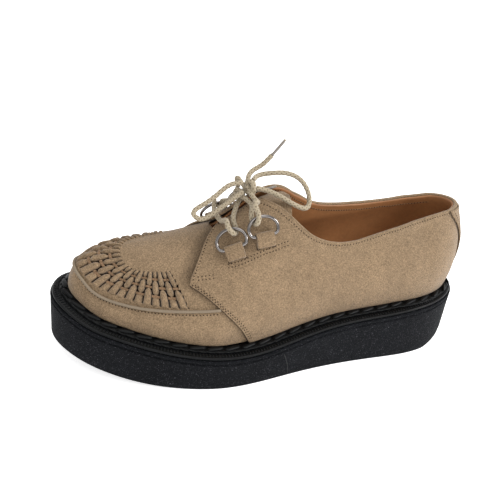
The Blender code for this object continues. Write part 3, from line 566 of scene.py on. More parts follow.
crepe_rubber = surface(
    "crepe_rubber", CREPE, 0.75, crumb, [(35.0, 2.0, 0.25)], specks=pale_specks, specular_ior_level=0.06
)
smooth_rubber = surface(
    "smooth_rubber", RUBBER, 0.38, [(500.0, 3.0, 0.18, 0.0005)], [(60.0, 2.0, 0.2)], specular_ior_level=0.16
)
black_leather = surface(
    "black_leather", BLACK, 0.42, [(900.0, 3.0, 0.3, 0.0004)], [(90.0, 2.0, 0.2)], specular_ior_level=0.14
)
nickel = surface("nickel", NICKEL, 0.16, [(600.0, 2.0, 0.06, 0.0002)], [(80.0, 2.0, 0.08)], metal=1.0)
yarn = [(2600.0, 3.0, 0.45, 0.0003)]
lace_yarn = surface("lace_yarn", LACE, 0.88, yarn, [(1200.0, 2.0, 0.2)], painted=BRAID_SHADE, **nap)
thread = surface("thread", THREAD, 0.8, [(3000.0, 2.0, 0.3, 0.0002)], [(300.0, 2.0, 0.1)])
hole = surface("hole", HOLE, 0.95, spread=[(300.0, 2.0, 0.1)])
aglet_plastic = surface("aglet_plastic", AGLET_PALE, 0.3, [(500.0, 2.0, 0.1, 0.0002)], [(80.0, 2.0, 0.05)])
dark_line = surface("dark_line", (0.005, 0.005, 0.006), 0.8, spread=[(200.0, 2.0, 0.1)])


# Meshes.
def make(name, verts, faces, finish, slot, swaps=(), merge=0.0, tone=None, outward=True):
    """A smooth piece from points of the form, on the shoe's body; swaps are the nodes it stands for."""
    mesh = bpy.data.meshes.new(name)
    mesh.from_pydata((np.asarray(verts, float) - MIDDLE).tolist(), [], [tuple(map(int, f)) for f in faces])
    if tone is not None:
        values = mesh.attributes.new("tone", "FLOAT", "POINT").data
        values.foreach_set("value", np.asarray(tone, "f").ravel())
    bm = bmesh.new()
    bm.from_mesh(mesh)
    if merge:
        bmesh.ops.remove_doubles(bm, verts=bm.verts, dist=merge)
    if outward:
        bmesh.ops.recalc_face_normals(bm, faces=bm.faces)
    for face in bm.faces:
        face.smooth = True
    bm.to_mesh(mesh)
    bm.free()
    mesh.materials.append(finish)
    piece = linked(name, mesh)
    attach(piece, "root")
    if swaps:
        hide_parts(*swaps)
    return piece


TURNED = [0, 3, 2, 1]  # order of a face's corners seen from its other side


def sheet_faces(rows, columns, closed=False, round_columns=False):
    """Four-cornered faces of a grid of points, closed over its rows or columns where asked."""
    steps = np.arange(rows - (not closed)), np.arange(columns - (not round_columns))
    i, j = (places.ravel() for places in np.meshgrid(*steps, indexing="ij"))
    k, q = (i + 1) % rows, (j + 1) % columns
    return np.stack([i * columns + j, k * columns + j, k * columns + q, i * columns + q], -1)


def slab(outer, inner):
    """Closed body between two matched grids of points."""
    rows, columns = outer.shape[:2]
    count = rows * columns
    places = np.arange(count).reshape(rows, columns)
    rim = np.concatenate([places[:, 0], places[-1, 1:], places[-2::-1, -1], places[0, -2:0:-1]])
    after = np.roll(rim, -1)
    walls = np.stack([rim, after, after + count, rim + count], -1)
    top = sheet_faces(rows, columns)
    faces = np.concatenate([top, top[:, ::-1] + count, walls])
    return np.concatenate([outer.reshape(-1, 3), inner.reshape(-1, 3)]), faces


def even(points, spacing):
    """Evenly spaced points on a smooth curve through the given ones."""
    points = np.array(points, float)
    run = run_of(points)
    marks = np.linspace(0, run[-1], max(3, int(round(run[-1] / spacing)) + 1))
    return np.column_stack([curve(run, points[:, k])(marks) for k in range(3)])


def unit(v):
    return v / (np.linalg.norm(v, axis=-1, keepdims=True) + 1e-12)


def carried(path, closed=False):
    """Two directions across a path at each of its points, carried along it without twist."""
    along = unit(np.roll(path, -1, 0) - np.roll(path, 1, 0)) if closed else unit(np.gradient(path, axis=0))
    first = np.cross(along[0], [0.0, 0.0, 1.0])
    if np.linalg.norm(first) < 0.1:
        first = np.cross(along[0], [0.0, 1.0, 0.0])
    side = [unit(first)]
    for step in along[1:]:
        side.append(unit(side[-1] - step * (side[-1] @ step)))
    side = np.array(side)
    if closed:
        back = unit(side[-1] - along[0] * (side[-1] @ along[0]))
        slip = math.atan2(np.cross(side[0], back) @ along[0], side[0] @ back)
        turn = -slip * np.arange(len(path)) / len(path)
        side = side * np.cos(turn)[:, None] + np.cross(along, side) * np.sin(turn)[:, None]
    return side, np.cross(along, side)


def sweep(path, side, up, across, over, closed=False):
    """Points and faces of a section carried along a path; across and over are the section's two widths."""
    points = path[:, None] + side[:, None] * across[..., None] + up[:, None] * over[..., None]
    n, m = points.shape[:2]
    faces = [tuple(face) for face in sheet_faces(n, m, closed, True)[:, TURNED]]
    if not closed:
        faces += [tuple(range(m)), tuple((n - 1) * m + j for j in range(m))]
    return points.reshape(-1, 3), faces


def round_tube(path, radius, sides=12, closed=False):
    side, up = carried(path, closed)
    angle = round_angles(sides)
    radius = np.broadcast_to(np.asarray(radius, float), (len(path),))[:, None]
    return sweep(path, side, up, np.cos(angle)[None] * radius, np.sin(angle)[None] * radius, closed)


def power(value, n):
    return np.sign(value) * np.abs(value) ** n


def balls(centre, axes, sizes, grain, powers):
    """A soft oblong body at each centre; axes and sizes go along, across and up, grain counts points."""
    theta, phi = np.linspace(0, np.pi, grain[1]), round_angles(grain[0])
    girth = power(np.sin(theta), powers[1])[:, None]
    x = power(np.cos(theta), powers[0])[:, None] + 0 * phi[None]
    shape = np.stack([x, girth * np.cos(phi)[None], girth * np.sin(phi)[None]], -1).reshape(-1, 3)
    body = centre[:, None]
    for k in range(3):
        body = body + shape[None, :, k : k + 1] * (axes[k] * np.reshape(sizes[k], (-1, 1)))[:, None]
    face = sheet_faces(grain[1], grain[0], False, True)[:, TURNED]
    faces = (face[None] + (np.arange(len(centre)) * len(shape))[:, None, None]).reshape(-1, 4)
    return body.reshape(-1, 3), faces


def joined(parts):
    """One list of points and faces from several."""
    verts, faces, start = [], [], 0
    for points, rows in parts:
        verts.append(np.asarray(points))
        faces += [tuple(int(v) + start for v in row) for row in rows]
        start += len(points)
    return np.concatenate(verts), faces


# Lace: its route is the CAD's, through the rings and round the knot.
RINGS = [(0.608, 0.569, 11.0), (0.545, 0.531, 11.0)]  # share, part of the section, lean in degrees
BAR_OFF, BAR_UP = 0.0036, 0.003
RING_LONG, RING_HALF, RING_ROUND, RING_RISE = 0.0125, 0.0100, 0.0080, 0.0016
TAB_HALF, TAB_LONG, TAB_THICK = 0.0062, 0.0048, 0.0011
WRAP = WIRE + CORD + 0.0006
OVER, TWICE = 0.0034, 0.0078
KNOT = np.array([-0.0215, -0.0050, 0.1220])
AGLET, AGLET_RADIUS = 0.014, 0.0010
STRANDS, TWIST = 4, 1900  # strands round the lace each way, and their turn in radians for each metre
SPACING = 0.00042  # between the lace's sections


def local_frame(share, part, inner, lean):
    """A ring's place on its quarter, with the directions across, up and outward."""
    turn = np.array([on_side(float(turn_of(share)), inner)])
    point, normal = form_at(turn, np.array([part]))
    above_it, _ = form_at(turn, np.array([part + 0.03]))
    point, normal, up = point[0] + normal[0] * lift(share), normal[0], above_it[0] - point[0]
    up = unit(up - normal * (up @ normal))
    across = np.cross(up, normal)
    across *= np.sign(-across[0])
    a = math.radians(lean)
    up, across = up * math.cos(a) + across * math.sin(a), across * math.cos(a) - up * math.sin(a)
    return point, across, up, normal


def placed(frame_here, points):
    origin, across, up, normal = frame_here
    points = np.array(points, float)
    return origin + points[:, 0:1] * across + points[:, 1:2] * up + points[:, 2:3] * normal


ring_frames = {
    (number, side_name): local_frame(share, part, side_name == "inner", lean)
    for number, (share, part, lean) in enumerate(RINGS, 1)
    for side_name in ("outer", "inner")
}


def wrap(number, side_name, over_x, under_x):
    """The cord over the ring's arc, down through the ring and out under the arc."""

    def at(x, up, off):
        arc_up = BAR_UP + RING_LONG - RING_ROUND * (1 - math.sqrt(1 - (x / RING_HALF) ** 2))
        return x, arc_up + up, BAR_OFF + RING_RISE + off

    points = [at(over_x, 0.0045, WRAP * 0.8)]
    for k in range(5):
        a = math.pi * k / 4
        points.append(at(over_x + (under_x - over_x) * k / 4, -WRAP * math.sin(a), WRAP * math.cos(a)))
    points.append(at(under_x, 0.0040, -WRAP * 0.75))
    return placed(ring_frames[number, side_name], points)


def above(share, part, inner, height):
    turn = on_side(float(turn_of(share)), inner)
    point, normal = form_at(np.array([turn]), np.array([part]))
    return point + normal * (lift(share) + height)


def from_knot(x, y, z, away=0.0053):
    return KNOT + unit(np.array([x, y, z], float)) * away


def braid(points, cuts=(), sides=24):
    """A round braided cord: two families of strands cross round it, and its tone paints shade into the
    valleys between them. It is one mesh, or one for each cut.
    """
    path = even(points, SPACING)
    side, up = carried(path)
    angle = round_angles(sides)
    run = np.arange(len(path))[:, None] * SPACING
    crest = np.maximum(np.sin(STRANDS * angle + run * TWIST), np.sin(STRANDS * angle - run * TWIST))
    radius = CORD * (0.955 + 0.06 * crest)
    across, over = np.cos(angle) * radius, np.sin(angle) * radius
    ends = [0, *(int(np.linalg.norm(path - cut, axis=1).argmin()) for cut in cuts), len(path) - 1]
    meshes = []
    for first, last in zip(ends, ends[1:]):
        k = slice(first, last + 1)
        # Tone from the crest: painted shade, darkest where both strands dip.
        meshes.append((path[k], sweep(path[k], side[k], up[k], across[k], over[k]), crest[k] * 0.5 + 0.5))
    return path, meshes


def lace_piece(name, meshes, slot, swaps):
    verts, faces = joined([mesh for _, mesh, _ in meshes])
    tone = np.concatenate([crest.ravel() for _, _, crest in meshes])
    return make(name, verts, faces, lace_yarn, slot, swaps, tone=tone)


def length_of(path):
    return float(np.linalg.norm(np.diff(path, axis=0), axis=1).sum())


def make_lace():
    top = (0.0030, BAR_UP + RING_LONG + 0.0085, BAR_OFF + 0.0058)
    top_outer, top_inner = (placed(ring_frames[2, name], [top])[0] for name in ("outer", "inner"))
    route = np.concatenate(
        [
            [KNOT, from_knot(0.15, -0.80, -0.60), (-0.0182, -0.0172, 0.1162), top_outer],
            wrap(2, "outer", 0.0024, 0.0054),
            above(0.562, 0.82, False, OVER),
            above(0.578, 0.99, False, TWICE),
            above(0.592, 0.88, True, OVER + 0.001),
            wrap(1, "inner", -0.0010, -0.0048)[::-1],
            above(0.622, 0.86, True, OVER + 0.001),
            above(0.628, 0.99, False, OVER + 0.001),
            above(0.622, 0.86, False, OVER + 0.001),
            wrap(1, "outer", -0.0010, -0.0048),
            above(0.594, 0.88, False, OVER),
            above(0.576, 0.99, True, OVER),
            above(0.562, 0.82, True, OVER),
            wrap(2, "inner", 0.0024, 0.0054)[::-1],
            [top_inner, (-0.0195, 0.0110, 0.1165), from_knot(0.10, 0.90, -0.40), KNOT],
        ]
    )
    _, meshes = braid(even(route, 0.0036), [top_outer, top_inner])
    lace_piece("lace_through_rings", meshes[1:2], "lace_crossings", ["lace_crossings"])
    nodes = ["lace_strand_outer", "lace_strand_inner"]
    strands = lace_piece("lace_strands", meshes[::2], nodes[0], nodes)
    declare(strands, np.concatenate([meshes[0][0][::-1], meshes[2][0][-2::-1]]), [make_knot()])
    left = [
        from_knot(-0.78, 0.30, 0.48),
        (-0.0330, -0.0035, 0.1236),
        (-0.0440, -0.0055, 0.1160),
        (-0.0536, -0.0072, 0.1100),
        (-0.0588, -0.0085, 0.1048),
        (-0.0562, -0.0100, 0.1023),
        (-0.0460, -0.0100, 0.1055),
        (-0.0353, -0.0090, 0.1132),
        from_knot(-0.80, -0.45, -0.40),
    ]
    right = [
        from_knot(0.55, 0.20, 0.80),
        (-0.0138, 0.0010, 0.1280),
        (-0.0044, 0.0, 0.1302),
        (0.0075, -0.0020, 0.1304),
        (0.0158, -0.0050, 0.1266),
        (0.0200, -0.0080, 0.1206),
        (0.0212, -0.0115, 0.1135),
        (0.0182, -0.0150, 0.1105),
        (0.0120, -0.0158, 0.1117),
        (0.0031, -0.0135, 0.1160),
        (-0.0075, -0.0098, 0.1205),
        from_knot(0.90, -0.40, 0.05),
    ]
    end_up = [
        KNOT,
        from_knot(0.05, 0.80, 0.65),
        (-0.0175, 0.0040, 0.1300),
        (-0.0109, 0.0050, 0.1340),
        (-0.0067, 0.0040, 0.1388),
        (-0.0030, 0.0030, 0.1440),
        (0.0033, 0.0020, 0.1532),
    ]
    end_low = [
        from_knot(-0.75, -0.45, 0.45, 0.0025),
        from_knot(0.75, 0.45, -0.45),
        (-0.0126, 0.0010, 0.1180),
        (-0.0054, 0.0045, 0.1170),
        (0.0030, 0.0085, 0.1175),
    ]
    for name, points in (("left", left), ("right", right)):
        path, meshes = braid(points)
        node = f"lace_loop_{name}"
        declare(lace_piece(f"lace_bow_{name}", meshes, node, [node]), path)
    for name, points in (("upper", end_up), ("lower", end_low)):
        node = f"lace_end_{name}"
        path = even(points, SPACING)
        run = np.arange(len(path)) * length_of(path) / (len(path) - 1)
        start = path[np.searchsorted(run, run[-1] - AGLET)]
        _, (shown, (rows, (verts, faces), crest)) = braid(points, [start])
        inside = np.repeat(rows, len(verts) // len(rows), axis=0)
        squeezed = (rows, (inside + (verts - inside) * 0.5, faces), crest)
        piece = lace_piece(f"lace_tail_{name}", [shown, squeezed], node, [node])
        sleeve = make_aglet(f"lace_aglet_{name}", rows, node)
        declare(piece, path, [sleeve])


def declare(piece, path, along=()):
    path = path - MIDDLE


def make_aglet(name, path, slot):
    """A smooth sleeve, thinner than the lace, with a rounded tip and a soft start."""
    path = even(path[::3], 0.0009)
    at = np.arange(len(path))
    full = toward(at, len(path) - 1, len(path) - 4)
    size = AGLET_RADIUS * np.sqrt(1 - 0.6 * (1 - full) ** 2) + 0.0003 * toward(at, 2, 0)
    verts, faces = round_tube(path, size, 16)
    return make(name, verts, faces, aglet_plastic, slot)


def make_knot():
    """The bow's knot: the lace wrapped twice round the bow's middle."""
    turns_round = np.linspace(0, 2 * np.pi, 40)
    meshes = []
    for tilt, radius, shift in ((0.35, 0.0036, 0.0), (-0.25, 0.0031, 0.0022)):
        loop_path = np.column_stack(
            [
                shift + 0.0012 * np.sin(turns_round * 0.5 + tilt),
                radius * np.cos(turns_round),
                radius * np.sin(turns_round) * 1.12,
            ]
        )
        c, s = math.cos(tilt), math.sin(tilt)
        turn = np.array([[c, -s, 0], [s, c, 0], [0, 0, 1]])
        meshes += braid(loop_path @ turn.T + KNOT)[1]
    return lace_piece("lace_bow_knot", meshes, "lace_knot", ["lace_knot"])


make_lace()


# Sole: crepe wedge, smooth midsole, ribbed and plaited welt.
STATIONS = 300
DECK = 0.012
turns = round_angles(STATIONS)
shares = share_of(turns)
low, high = floor_z(shares), top_z(shares)
foot_in = flare(shares) - ledge(shares)
deck_z = top_z(0.5 - edge(turns, foot_in - DECK)[:, 0] / LENGTH)
heel_round = toward(shares, 0.10, 0.0)


def ring(out, z):
    return np.column_stack([edge(turns, out), z + np.zeros(STATIONS)])


def deck_ring(inward, up):
    return ring(foot_in - inward, high + (deck_z - high) * inward / DECK + up)


def rings_body(rings):
    """Closed body of stacked closed rings; the ends are capped by strips across the shoe."""
    n, count = len(rings[0]), len(rings)
    grid = np.array(rings).transpose(1, 0, 2)
    faces = [tuple(f) for f in sheet_faces(n, count, closed=True)]
    for j in (0, count - 1):
        for i in range(n // 2):
            corners = dict.fromkeys((i, i + 1, (n - i - 1) % n, (n - i) % n))
            faces.append(tuple(v * count + j for v in corners))
    return grid.reshape(-1, 3), faces


def make_sole():
    corner = 0.0015 + 0.0105 * heel_round
    bead = 0.0016
    beads = [(0, 2.35), (0, 2.1), (-0.0006, 1.95), (-0.0007, 1.6), (-0.0006, 1.2), (0, 1.05), (0.0001, 0.7)]
    crepe = [ring(-corner - 0.003, low), ring(-corner, low)]
    for angle in range(12, 91, 13):
        a = math.radians(angle)
        crepe.append(ring(-corner * (1 - math.sin(a)), low + corner * (1 - math.cos(a))))
    for up in (0.25, 0.4, 0.55, 0.7, 0.8):
        crepe.append(ring(flare(shares) * up, low + (high - low) * up))
    for out, down in beads:
        crepe.append(ring(flare(shares) + out, high - down * bead))
    crepe += [ring(flare(shares), high - 0.0005), ring(flare(shares) - 0.0002, high - 0.0001)]
    crepe += [ring(flare(shares) - 0.0008, high), deck_ring(0.0, 0.0), deck_ring(DECK, 0.0)]
    make("crepe_wedge", *rings_body(crepe), crepe_rubber, "outsole", ["outsole"])
    edge_out = flare(shares) - 0.0011
    band = [deck_ring(DECK, GAP), deck_ring(0.0, GAP), ring(edge_out - 0.0006, high + GAP)]
    for angle in range(-60, 91, 15):
        a = math.radians(angle)
        out = edge_out - 0.0009 + 0.0009 * math.cos(a)
        band.append(ring(out, high + GAP + (MIDSOLE - GAP) * (0.5 + 0.5 * math.sin(a))))
    band += [ring(edge_out - 0.0022, high + MIDSOLE), deck_ring(0.0, MIDSOLE), deck_ring(DECK, MIDSOLE)]
    make("midsole_band", *rings_body(band), smooth_rubber, "midsole", ["midsole"])
    sock = MIDSOLE + 2 * GAP
    edge_in = LEATHER + LINING + APART + 0.0015
    rings = [deck_ring(DECK, sock), deck_ring(edge_in, sock), deck_ring(edge_in, sock + 0.0028)]
    rings += [deck_ring(edge_in + 0.0003, sock + 0.0035), deck_ring(edge_in + 0.0010, sock + 0.0038)]
    rings += [deck_ring(edge_in + 0.004, sock + 0.0039), deck_ring(DECK, sock + 0.0038)]
    make("footbed", *rings_body(rings), lining_leather, "insole", ["insole"])


def outline(spacing, inward, start=0.0):
    """Evenly spaced turns along the crepe's edge, moved inwards."""
    fine = np.linspace(0, 2 * np.pi, 1500)
    path = edge(fine, flare(share_of(fine)) - inward)
    run = run_of(path)
    count = int(run[-1] / spacing)
    return np.interp((np.arange(count) + start) / count * run[-1], run, fine)


def pads(turn, inward, size, up, slant=0.0, grain=(10, 7)):
    """Soft oblong pads lying along the ledge; inward and size may change along it."""
    share = share_of(turn)
    inward = np.broadcast_to(inward, turn.shape)
    centre = np.column_stack([edge(turn, flare(share) - inward), top_z(share) + MIDSOLE + up])
    ahead, behind = turn + STEP, turn - STEP
    stretch = edge(ahead, flare(share) - inward) - edge(behind, flare(share) - inward)
    climb = top_z(share_of(ahead)) - top_z(share_of(behind))
    along = unit(np.column_stack([stretch, climb]))
    out = outward_of(turn)
    a, b = math.cos(slant), math.sin(slant)
    along, out = along * a + out * b, out * a - along * b
    up_axis = unit(np.cross(along, out))
    up_axis *= np.sign(up_axis[:, 2:3])
    return balls(centre, (along, out, up_axis), size, grain, (0.8, 0.55))


def make_welt():
    base = high + MIDSOLE + GAP
    reach = foot_in + 0.0052 - 0.0026 * toward(shares, 0.12, 0.0)
    profile = [(foot_in - 0.0026, 0.0), (reach, 0.0), (reach, 0.0004), (reach - 0.0006, 0.0008)]
    profile += [(foot_in, 0.0008), (foot_in - 0.0026, 0.0008)]
    grid = np.array([ring(out, base + z) for out, z in profile]).transpose(1, 0, 2)
    faces = sheet_faces(STATIONS, len(profile), True, True)
    make("welt_strip", grid.reshape(-1, 3), faces, black_leather, "welt", ["welt"])
    plait = outline(0.0118, 0.0090)
    at = ledge(share_of(plait))
    size = (0.0055, 0.0018 * at / at.max(), 0.0011)
    parts = [pads(plait, at - 0.0020, size, 0.0018, 0.24, (12, 9))]
    beads = outline(0.0059, 0.0070, 0.4)
    at = ledge(share_of(beads))
    parts.append(pads(beads, at * 0.63, (0.0022, 0.0010, 0.0007), 0.0009, -0.3))
    verts, faces = joined(parts)
    make("welt_plait", verts, faces, black_leather, "welt")
    ribs = outline(0.0021, 0.0042)
    ribs = ribs[ledge(share_of(ribs)) > 0.0085]
    verts, faces = pads(ribs, 0.0040, (0.00055, 0.00170, 0.00080), 0.0002, 0.0, (8, 6))
    make("midsole_ribs", verts, faces, smooth_rubber, "midsole")


make_sole()
make_welt()


# Upper: soft troughs and ridges are placed on the form.
# share and part of the middle, inner side or not, half length, half width, angle from the sole's line, rise
CREASES = [
    (0.600, 0.330, False, 0.030, 0.0085, 38, 0.0011),
    (0.622, 0.430, False, 0.026, 0.0080, 30, -0.0010),
    (0.560, 0.240, False, 0.028, 0.0090, 30, -0.0009),
    (0.520, 0.330, False, 0.034, 0.0120, 12, 0.0009),
    (0.470, 0.250, False, 0.030, 0.0110, -10, -0.0009),
    (0.400, 0.300, False, 0.036, 0.0130, 18, 0.0008),
    (0.330, 0.200, False, 0.032, 0.0120, -24, -0.0008),
    (0.230, 0.270, False, 0.030, 0.0120, 20, 0.0007),
    (0.140, 0.180, False, 0.022, 0.0100, 62, -0.0007),
    (0.690, 0.620, False, 0.020, 0.0070, 64, -0.0009),
    (0.715, 0.800, False, 0.018, 0.0080, 74, 0.0006),
    (0.760, 0.150, False, 0.040, 0.0060, 4, 0.0005),
    (0.600, 0.350, True, 0.030, 0.0090, 34, 0.0010),
    (0.560, 0.250, True, 0.030, 0.0090, 30, -0.0009),
    (0.480, 0.300, True, 0.034, 0.0120, 8, 0.0008),
    (0.380, 0.230, True, 0.034, 0.0120, -16, -0.0009),
    (0.250, 0.260, True, 0.030, 0.0120, 22, 0.0007),
    (0.150, 0.190, True, 0.022, 0.0100, 58, -0.0007),
    (0.700, 0.640, True, 0.020, 0.0080, 66, -0.0008),
]
GIRTH = 0.105  # length of one side of a section, from welt to ridge
CREASED = 1.35  # depth of the creases over what the table gives


def relief(turn, part):
    turn, part = np.broadcast_arrays(np.asarray(turn, float), np.asarray(part, float))
    total = np.zeros(turn.shape)
    side = np.mod(turn, 2 * np.pi) > np.pi
    for share, middle_part, inner, long, wide, angle, rise in CREASES:
        x = (share_of(turn) - share) * LENGTH
        y = (part - middle_part) * GIRTH
        a = math.radians(angle)
        along, across = x * math.cos(a) + y * math.sin(a), y * math.cos(a) - x * math.sin(a)
        bump = rise * np.exp(-((along / long) ** 2) - (across / wide) ** 2)
        total += np.where(side == inner, bump, 0)
    return CREASED * total * soft(part, 0.0, 0.06)


def skin(turn, part, out=0.0):
    """Points on the creased form, moved out along its normals."""
    points, normals = form_at(turn, part)
    out = out + relief(turn, part)
    return points + normals * np.broadcast_to(out, points.shape[:-1])[..., None], normals


def throat_part(share):
    return np.interp(share, [row[0] for row in THROAT], [row[1] for row in THROAT])


def top_part(turn, inner):
    share = share_of(turn)
    mix = toward(share, 0.533, 0.548)
    return collar_part(turn, inner) * (1 - mix) + throat_part(share) * mix


# The woven apron: strips run from an outer line near the piping to an inner line round the plain centre.
WEAVE_TURN = 2.038  # last slit
STRIPS = 28
OUTER_LINE = [
    (2.038, 0.004), (2.18, 0.016), (2.348, 0.042), (2.45, 0.055), (2.6, 0.050), (2.8, 0.022), (3.142, 0.018)
]
INNER_LINE = [
    (-0.0765, -0.0268), (-0.0840, -0.0254), (-0.0916, -0.0233), (-0.0984, -0.0203), (-0.1035, -0.0160),
    (-0.1062, -0.0105), (-0.1058, -0.0045), (-0.1025, 0.0010), (-0.0970, 0.0042), (-0.0900, 0.0060),
    (-0.0830, 0.0070), (-0.0760, 0.0076),
]
BANDS, BAND = (0.25, 0.50, 0.75), 0.036  # middles and half width
DEEP = -0.0022  # floor of the slits


def spaced(points, marks):
    points = np.array(points, float)
    run = run_of(points)
    return at_marks(run, points, np.asarray(marks) * run[-1])


def outer_line(marks):
    turn = both_sides(np.linspace(WEAVE_TURN, np.pi, 120))
    b = np.interp(np.where(turn > np.pi, 2 * np.pi - turn, turn), *np.array(OUTER_LINE).T)
    points, _ = form_at(turn, CORNER + (1 - CORNER) * b)
    return spaced(points[:, :2], marks)


def inner_line(marks):
    fine = np.array(INNER_LINE)
    run = run_of(fine)
    places = np.linspace(0, run[-1], 200)
    return spaced(np.column_stack([curve(run, fine[:, k])(places) for k in (0, 1)]), marks)


def unplan(x, y):
    """Turn and part of the apron's point above each place in plan."""
    one = np.linspace(0.9, np.pi, 420)
    out = (np.zeros(len(x)), np.zeros(len(x)))
    for inner in (False, True):
        turn = on_side(one, inner)
        k, q = form_at(turn, np.full(len(turn), CORNER))[0][:, :2], spine(turn)[:, :2]
        ridge = ridge_y(0.5 - np.clip(x, TOE_FAN, HEEL_FAN) / LENGTH)
        mine = np.flatnonzero((y >= ridge) == inner)
        place = np.column_stack([x[mine], y[mine]])
        d = q - k
        ahead, aside = place[:, None, 0] - k[None, :, 0], place[:, None, 1] - k[None, :, 1]
        side = (d[None, :, 0] * aside - d[None, :, 1] * ahead) * (-1 if inner else 1)
        i = np.clip((side > 0).sum(1) - 1, 0, len(turn) - 2)
        rows = np.arange(len(mine))
        a, b = side[rows, i], side[rows, i + 1]
        t = np.clip(a / (a - b + 1e-15), 0, 1)
        out[0][mine] = turn[i] * (1 - t) + turn[i + 1] * t
        t = t[:, None]
        start, reach = (line[i] * (1 - t) + line[i + 1] * t for line in (k, d))
        b_part = np.clip(((place - start) * reach).sum(1) / ((reach * reach).sum(1) + 1e-15), -0.2, 1)
        out[1][mine] = CORNER + (1 - CORNER) * b_part
    return out


def weave_height(g, f):
    """Height and tone of the weave: g counts the strips, f runs from the outer line to the inner one. The
    tone paints shade into the slits and marks the pink bands.
    """
    strip = np.clip(np.floor(g), 0, STRIPS - 1)
    w = np.abs(2 * (g - strip) - 1)
    odd = np.mod(strip, 2)
    inside = soft(f, 0.0, 0.03) * soft(f, 1.0, 0.97)
    dive, band = np.full(f.shape, 1.0), np.full(f.shape, DEEP)
    for j, centre in enumerate(BANDS, 1):
        away = np.where(np.mod(odd + j, 2) == 0, np.abs(f - centre), 1.0)
        dive = np.minimum(dive, away)
        crown = 0.0005 * np.sqrt(np.clip(1 - (away / BAND) ** 2, 0, 1)) - 0.0009
        band = np.maximum(band, crown - (away >= BAND))
    flat = (odd == 1) & (f < BANDS[0])
    rounding = np.where(flat, 0.018, 0.135)
    tip = 1 - np.clip((dive - BAND * 0.9) / rounding, 0, 1)
    half = 0.92 * np.sqrt(1 - tip**2)
    across = np.clip(w / (half + 1e-9), 0, 1)
    top = -0.0005 + 0.0015 * soft(dive, 0.03, 0.15)
    height = np.where(w < half, DEEP + (top * inside - DEEP) * (1 - across**3.5) ** 0.6, DEEP)
    pink = band > height
    height = np.maximum(height, band) * inside + np.where(inside < 1, 0.00006, 0)
    # Painted shade: the lower the weave lies, the darker its tone, darkest on the slit floors.
    tone = np.clip(0.5 * toward(height, -0.0018, -0.0004), 0, 0.5)
    tone = np.where(pink, 0.8, tone)
    return height, np.where(inside < 0.02, 0.5, tone)


def make_weave():
    across = np.array([0, 0.012, 0.03, 0.055, 0.09, 0.14, 0.2, 0.28, 0.38, 0.5])
    across = np.concatenate([across, 1 - across[-2:0:-1]])
    g = np.concatenate([(np.arange(STRIPS)[:, None] + across[None]).ravel(), [STRIPS]])
    f = np.concatenate([[-0.05, -0.03, -0.01], np.linspace(0, 1, 125), [1.01, 1.03, 1.05]])
    outer, inner = outer_line(g / STRIPS), inner_line(g / STRIPS)
    plan = outer[:, None] * (1 - f)[None, :, None] + inner[:, None] * f[None, :, None]
    turn, part = unplan(plan[..., 0].ravel(), plan[..., 1].ravel())
    gg, ff = np.meshgrid(g, f, indexing="ij")
    height, tone = weave_height(gg, ff)
    edge_rows = (ff < -0.04) | (ff > 1.04)
    height = np.where(edge_rows, -0.0003, height)
    height[[0, -1]] = -0.0003
    # Painted shade along the two end columns, which border the last slits.
    tone[[0, -1]] = 0.3
    points, normals = form_at(turn, part)
    verts = points + normals * (height.ravel() + relief(turn, part))[:, None]
    faces = sheet_faces(len(g), len(f))
    make("vamp_weave", verts, faces, suede_woven, "upper", tone=tone, outward=False)


def inside_of(points, border):
    """Even and odd crossings: which places in plan lie inside a closed line."""
    a, b = border, np.roll(border, -1, 0)
    x, y = points[:, 0:1], points[:, 1:2]
    cross = (a[None, :, 1] > y) != (b[None, :, 1] > y)
    rise = b[None, :, 1] - a[None, :, 1] + 1e-15
    at = a[None, :, 0] + (y - a[None, :, 1]) / rise * (b[None, :, 0] - a[None, :, 0])
    return (cross & (x < at)).sum(1) % 2 == 1


def shade_by_quarter(turn, part):
    """1 at the quarters' front edges and 0 a little ahead of them: the strength of the painted shadow on the
    vamp there.
    """
    inner = turn > np.pi
    share = share_of(np.where(inner, 2 * np.pi - turn, turn))
    line = np.array(FRONT)[np.argsort([w for _, w in FRONT])]
    ahead = share - np.interp(part, line[:, 1], line[:, 0])
    return soft(ahead, 0.048, 0.004) * soft(part, 0.30, 0.55)


def top_of_wall(turn):
    """The part at which the vamp ends: under the quarters' top, or at the ridge ahead of the throat."""
    share = share_of(turn)
    quarter_top = np.where(turn > np.pi, top_part(turn, True), top_part(turn, False))
    tops = np.where(share > THROAT_END, 1.0, quarter_top)
    return tops - 0.022 * soft(share, 0.50, 0.56) * (share < THROAT_END)


def make_vamp():
    one = np.concatenate([turn_of(np.linspace(0.556, 0.72, 34)), np.linspace(turn_of(0.7245), np.pi, 110)])
    turn = both_sides(one)
    rows = [np.linspace(0, CORNER - 0.03, 22), np.linspace(CORNER - 0.024, CORNER + 0.02, 9)]
    rows = np.concatenate([*rows, np.linspace(CORNER + 0.03, 1.0, 74)])
    part = top_of_wall(turn)[:, None] * rows[None]
    where = np.repeat(turn[:, None], len(rows), 1)
    points, _ = skin(where, part, lift(share_of(where)) - LEATHER - APART)
    faces = sheet_faces(*where.shape)
    middle = points.reshape(-1, 3)[faces].mean(1)
    border = np.concatenate([outer_line(np.linspace(0, 1, 160)), inner_line(np.linspace(1, 0, 160))])
    woven = inside_of(middle[:, :2], border) & (part.ravel()[faces].mean(1) > CORNER)
    # Painted shadow: the vamp's tone darkens just ahead of the quarters' front edges.
    tone = 0.5 - 0.28 * shade_by_quarter(where, part).ravel()
    make("vamp_suede", points.reshape(-1, 3), faces[~woven], suede_woven, "upper", ["upper"], 2e-5, tone)


def lining_drop(share):
    """How far the lining lies inside the form, behind the vamp's front."""
    return LEATHER + APART + 0.0004 * toward(share, 0.20, 0.06)


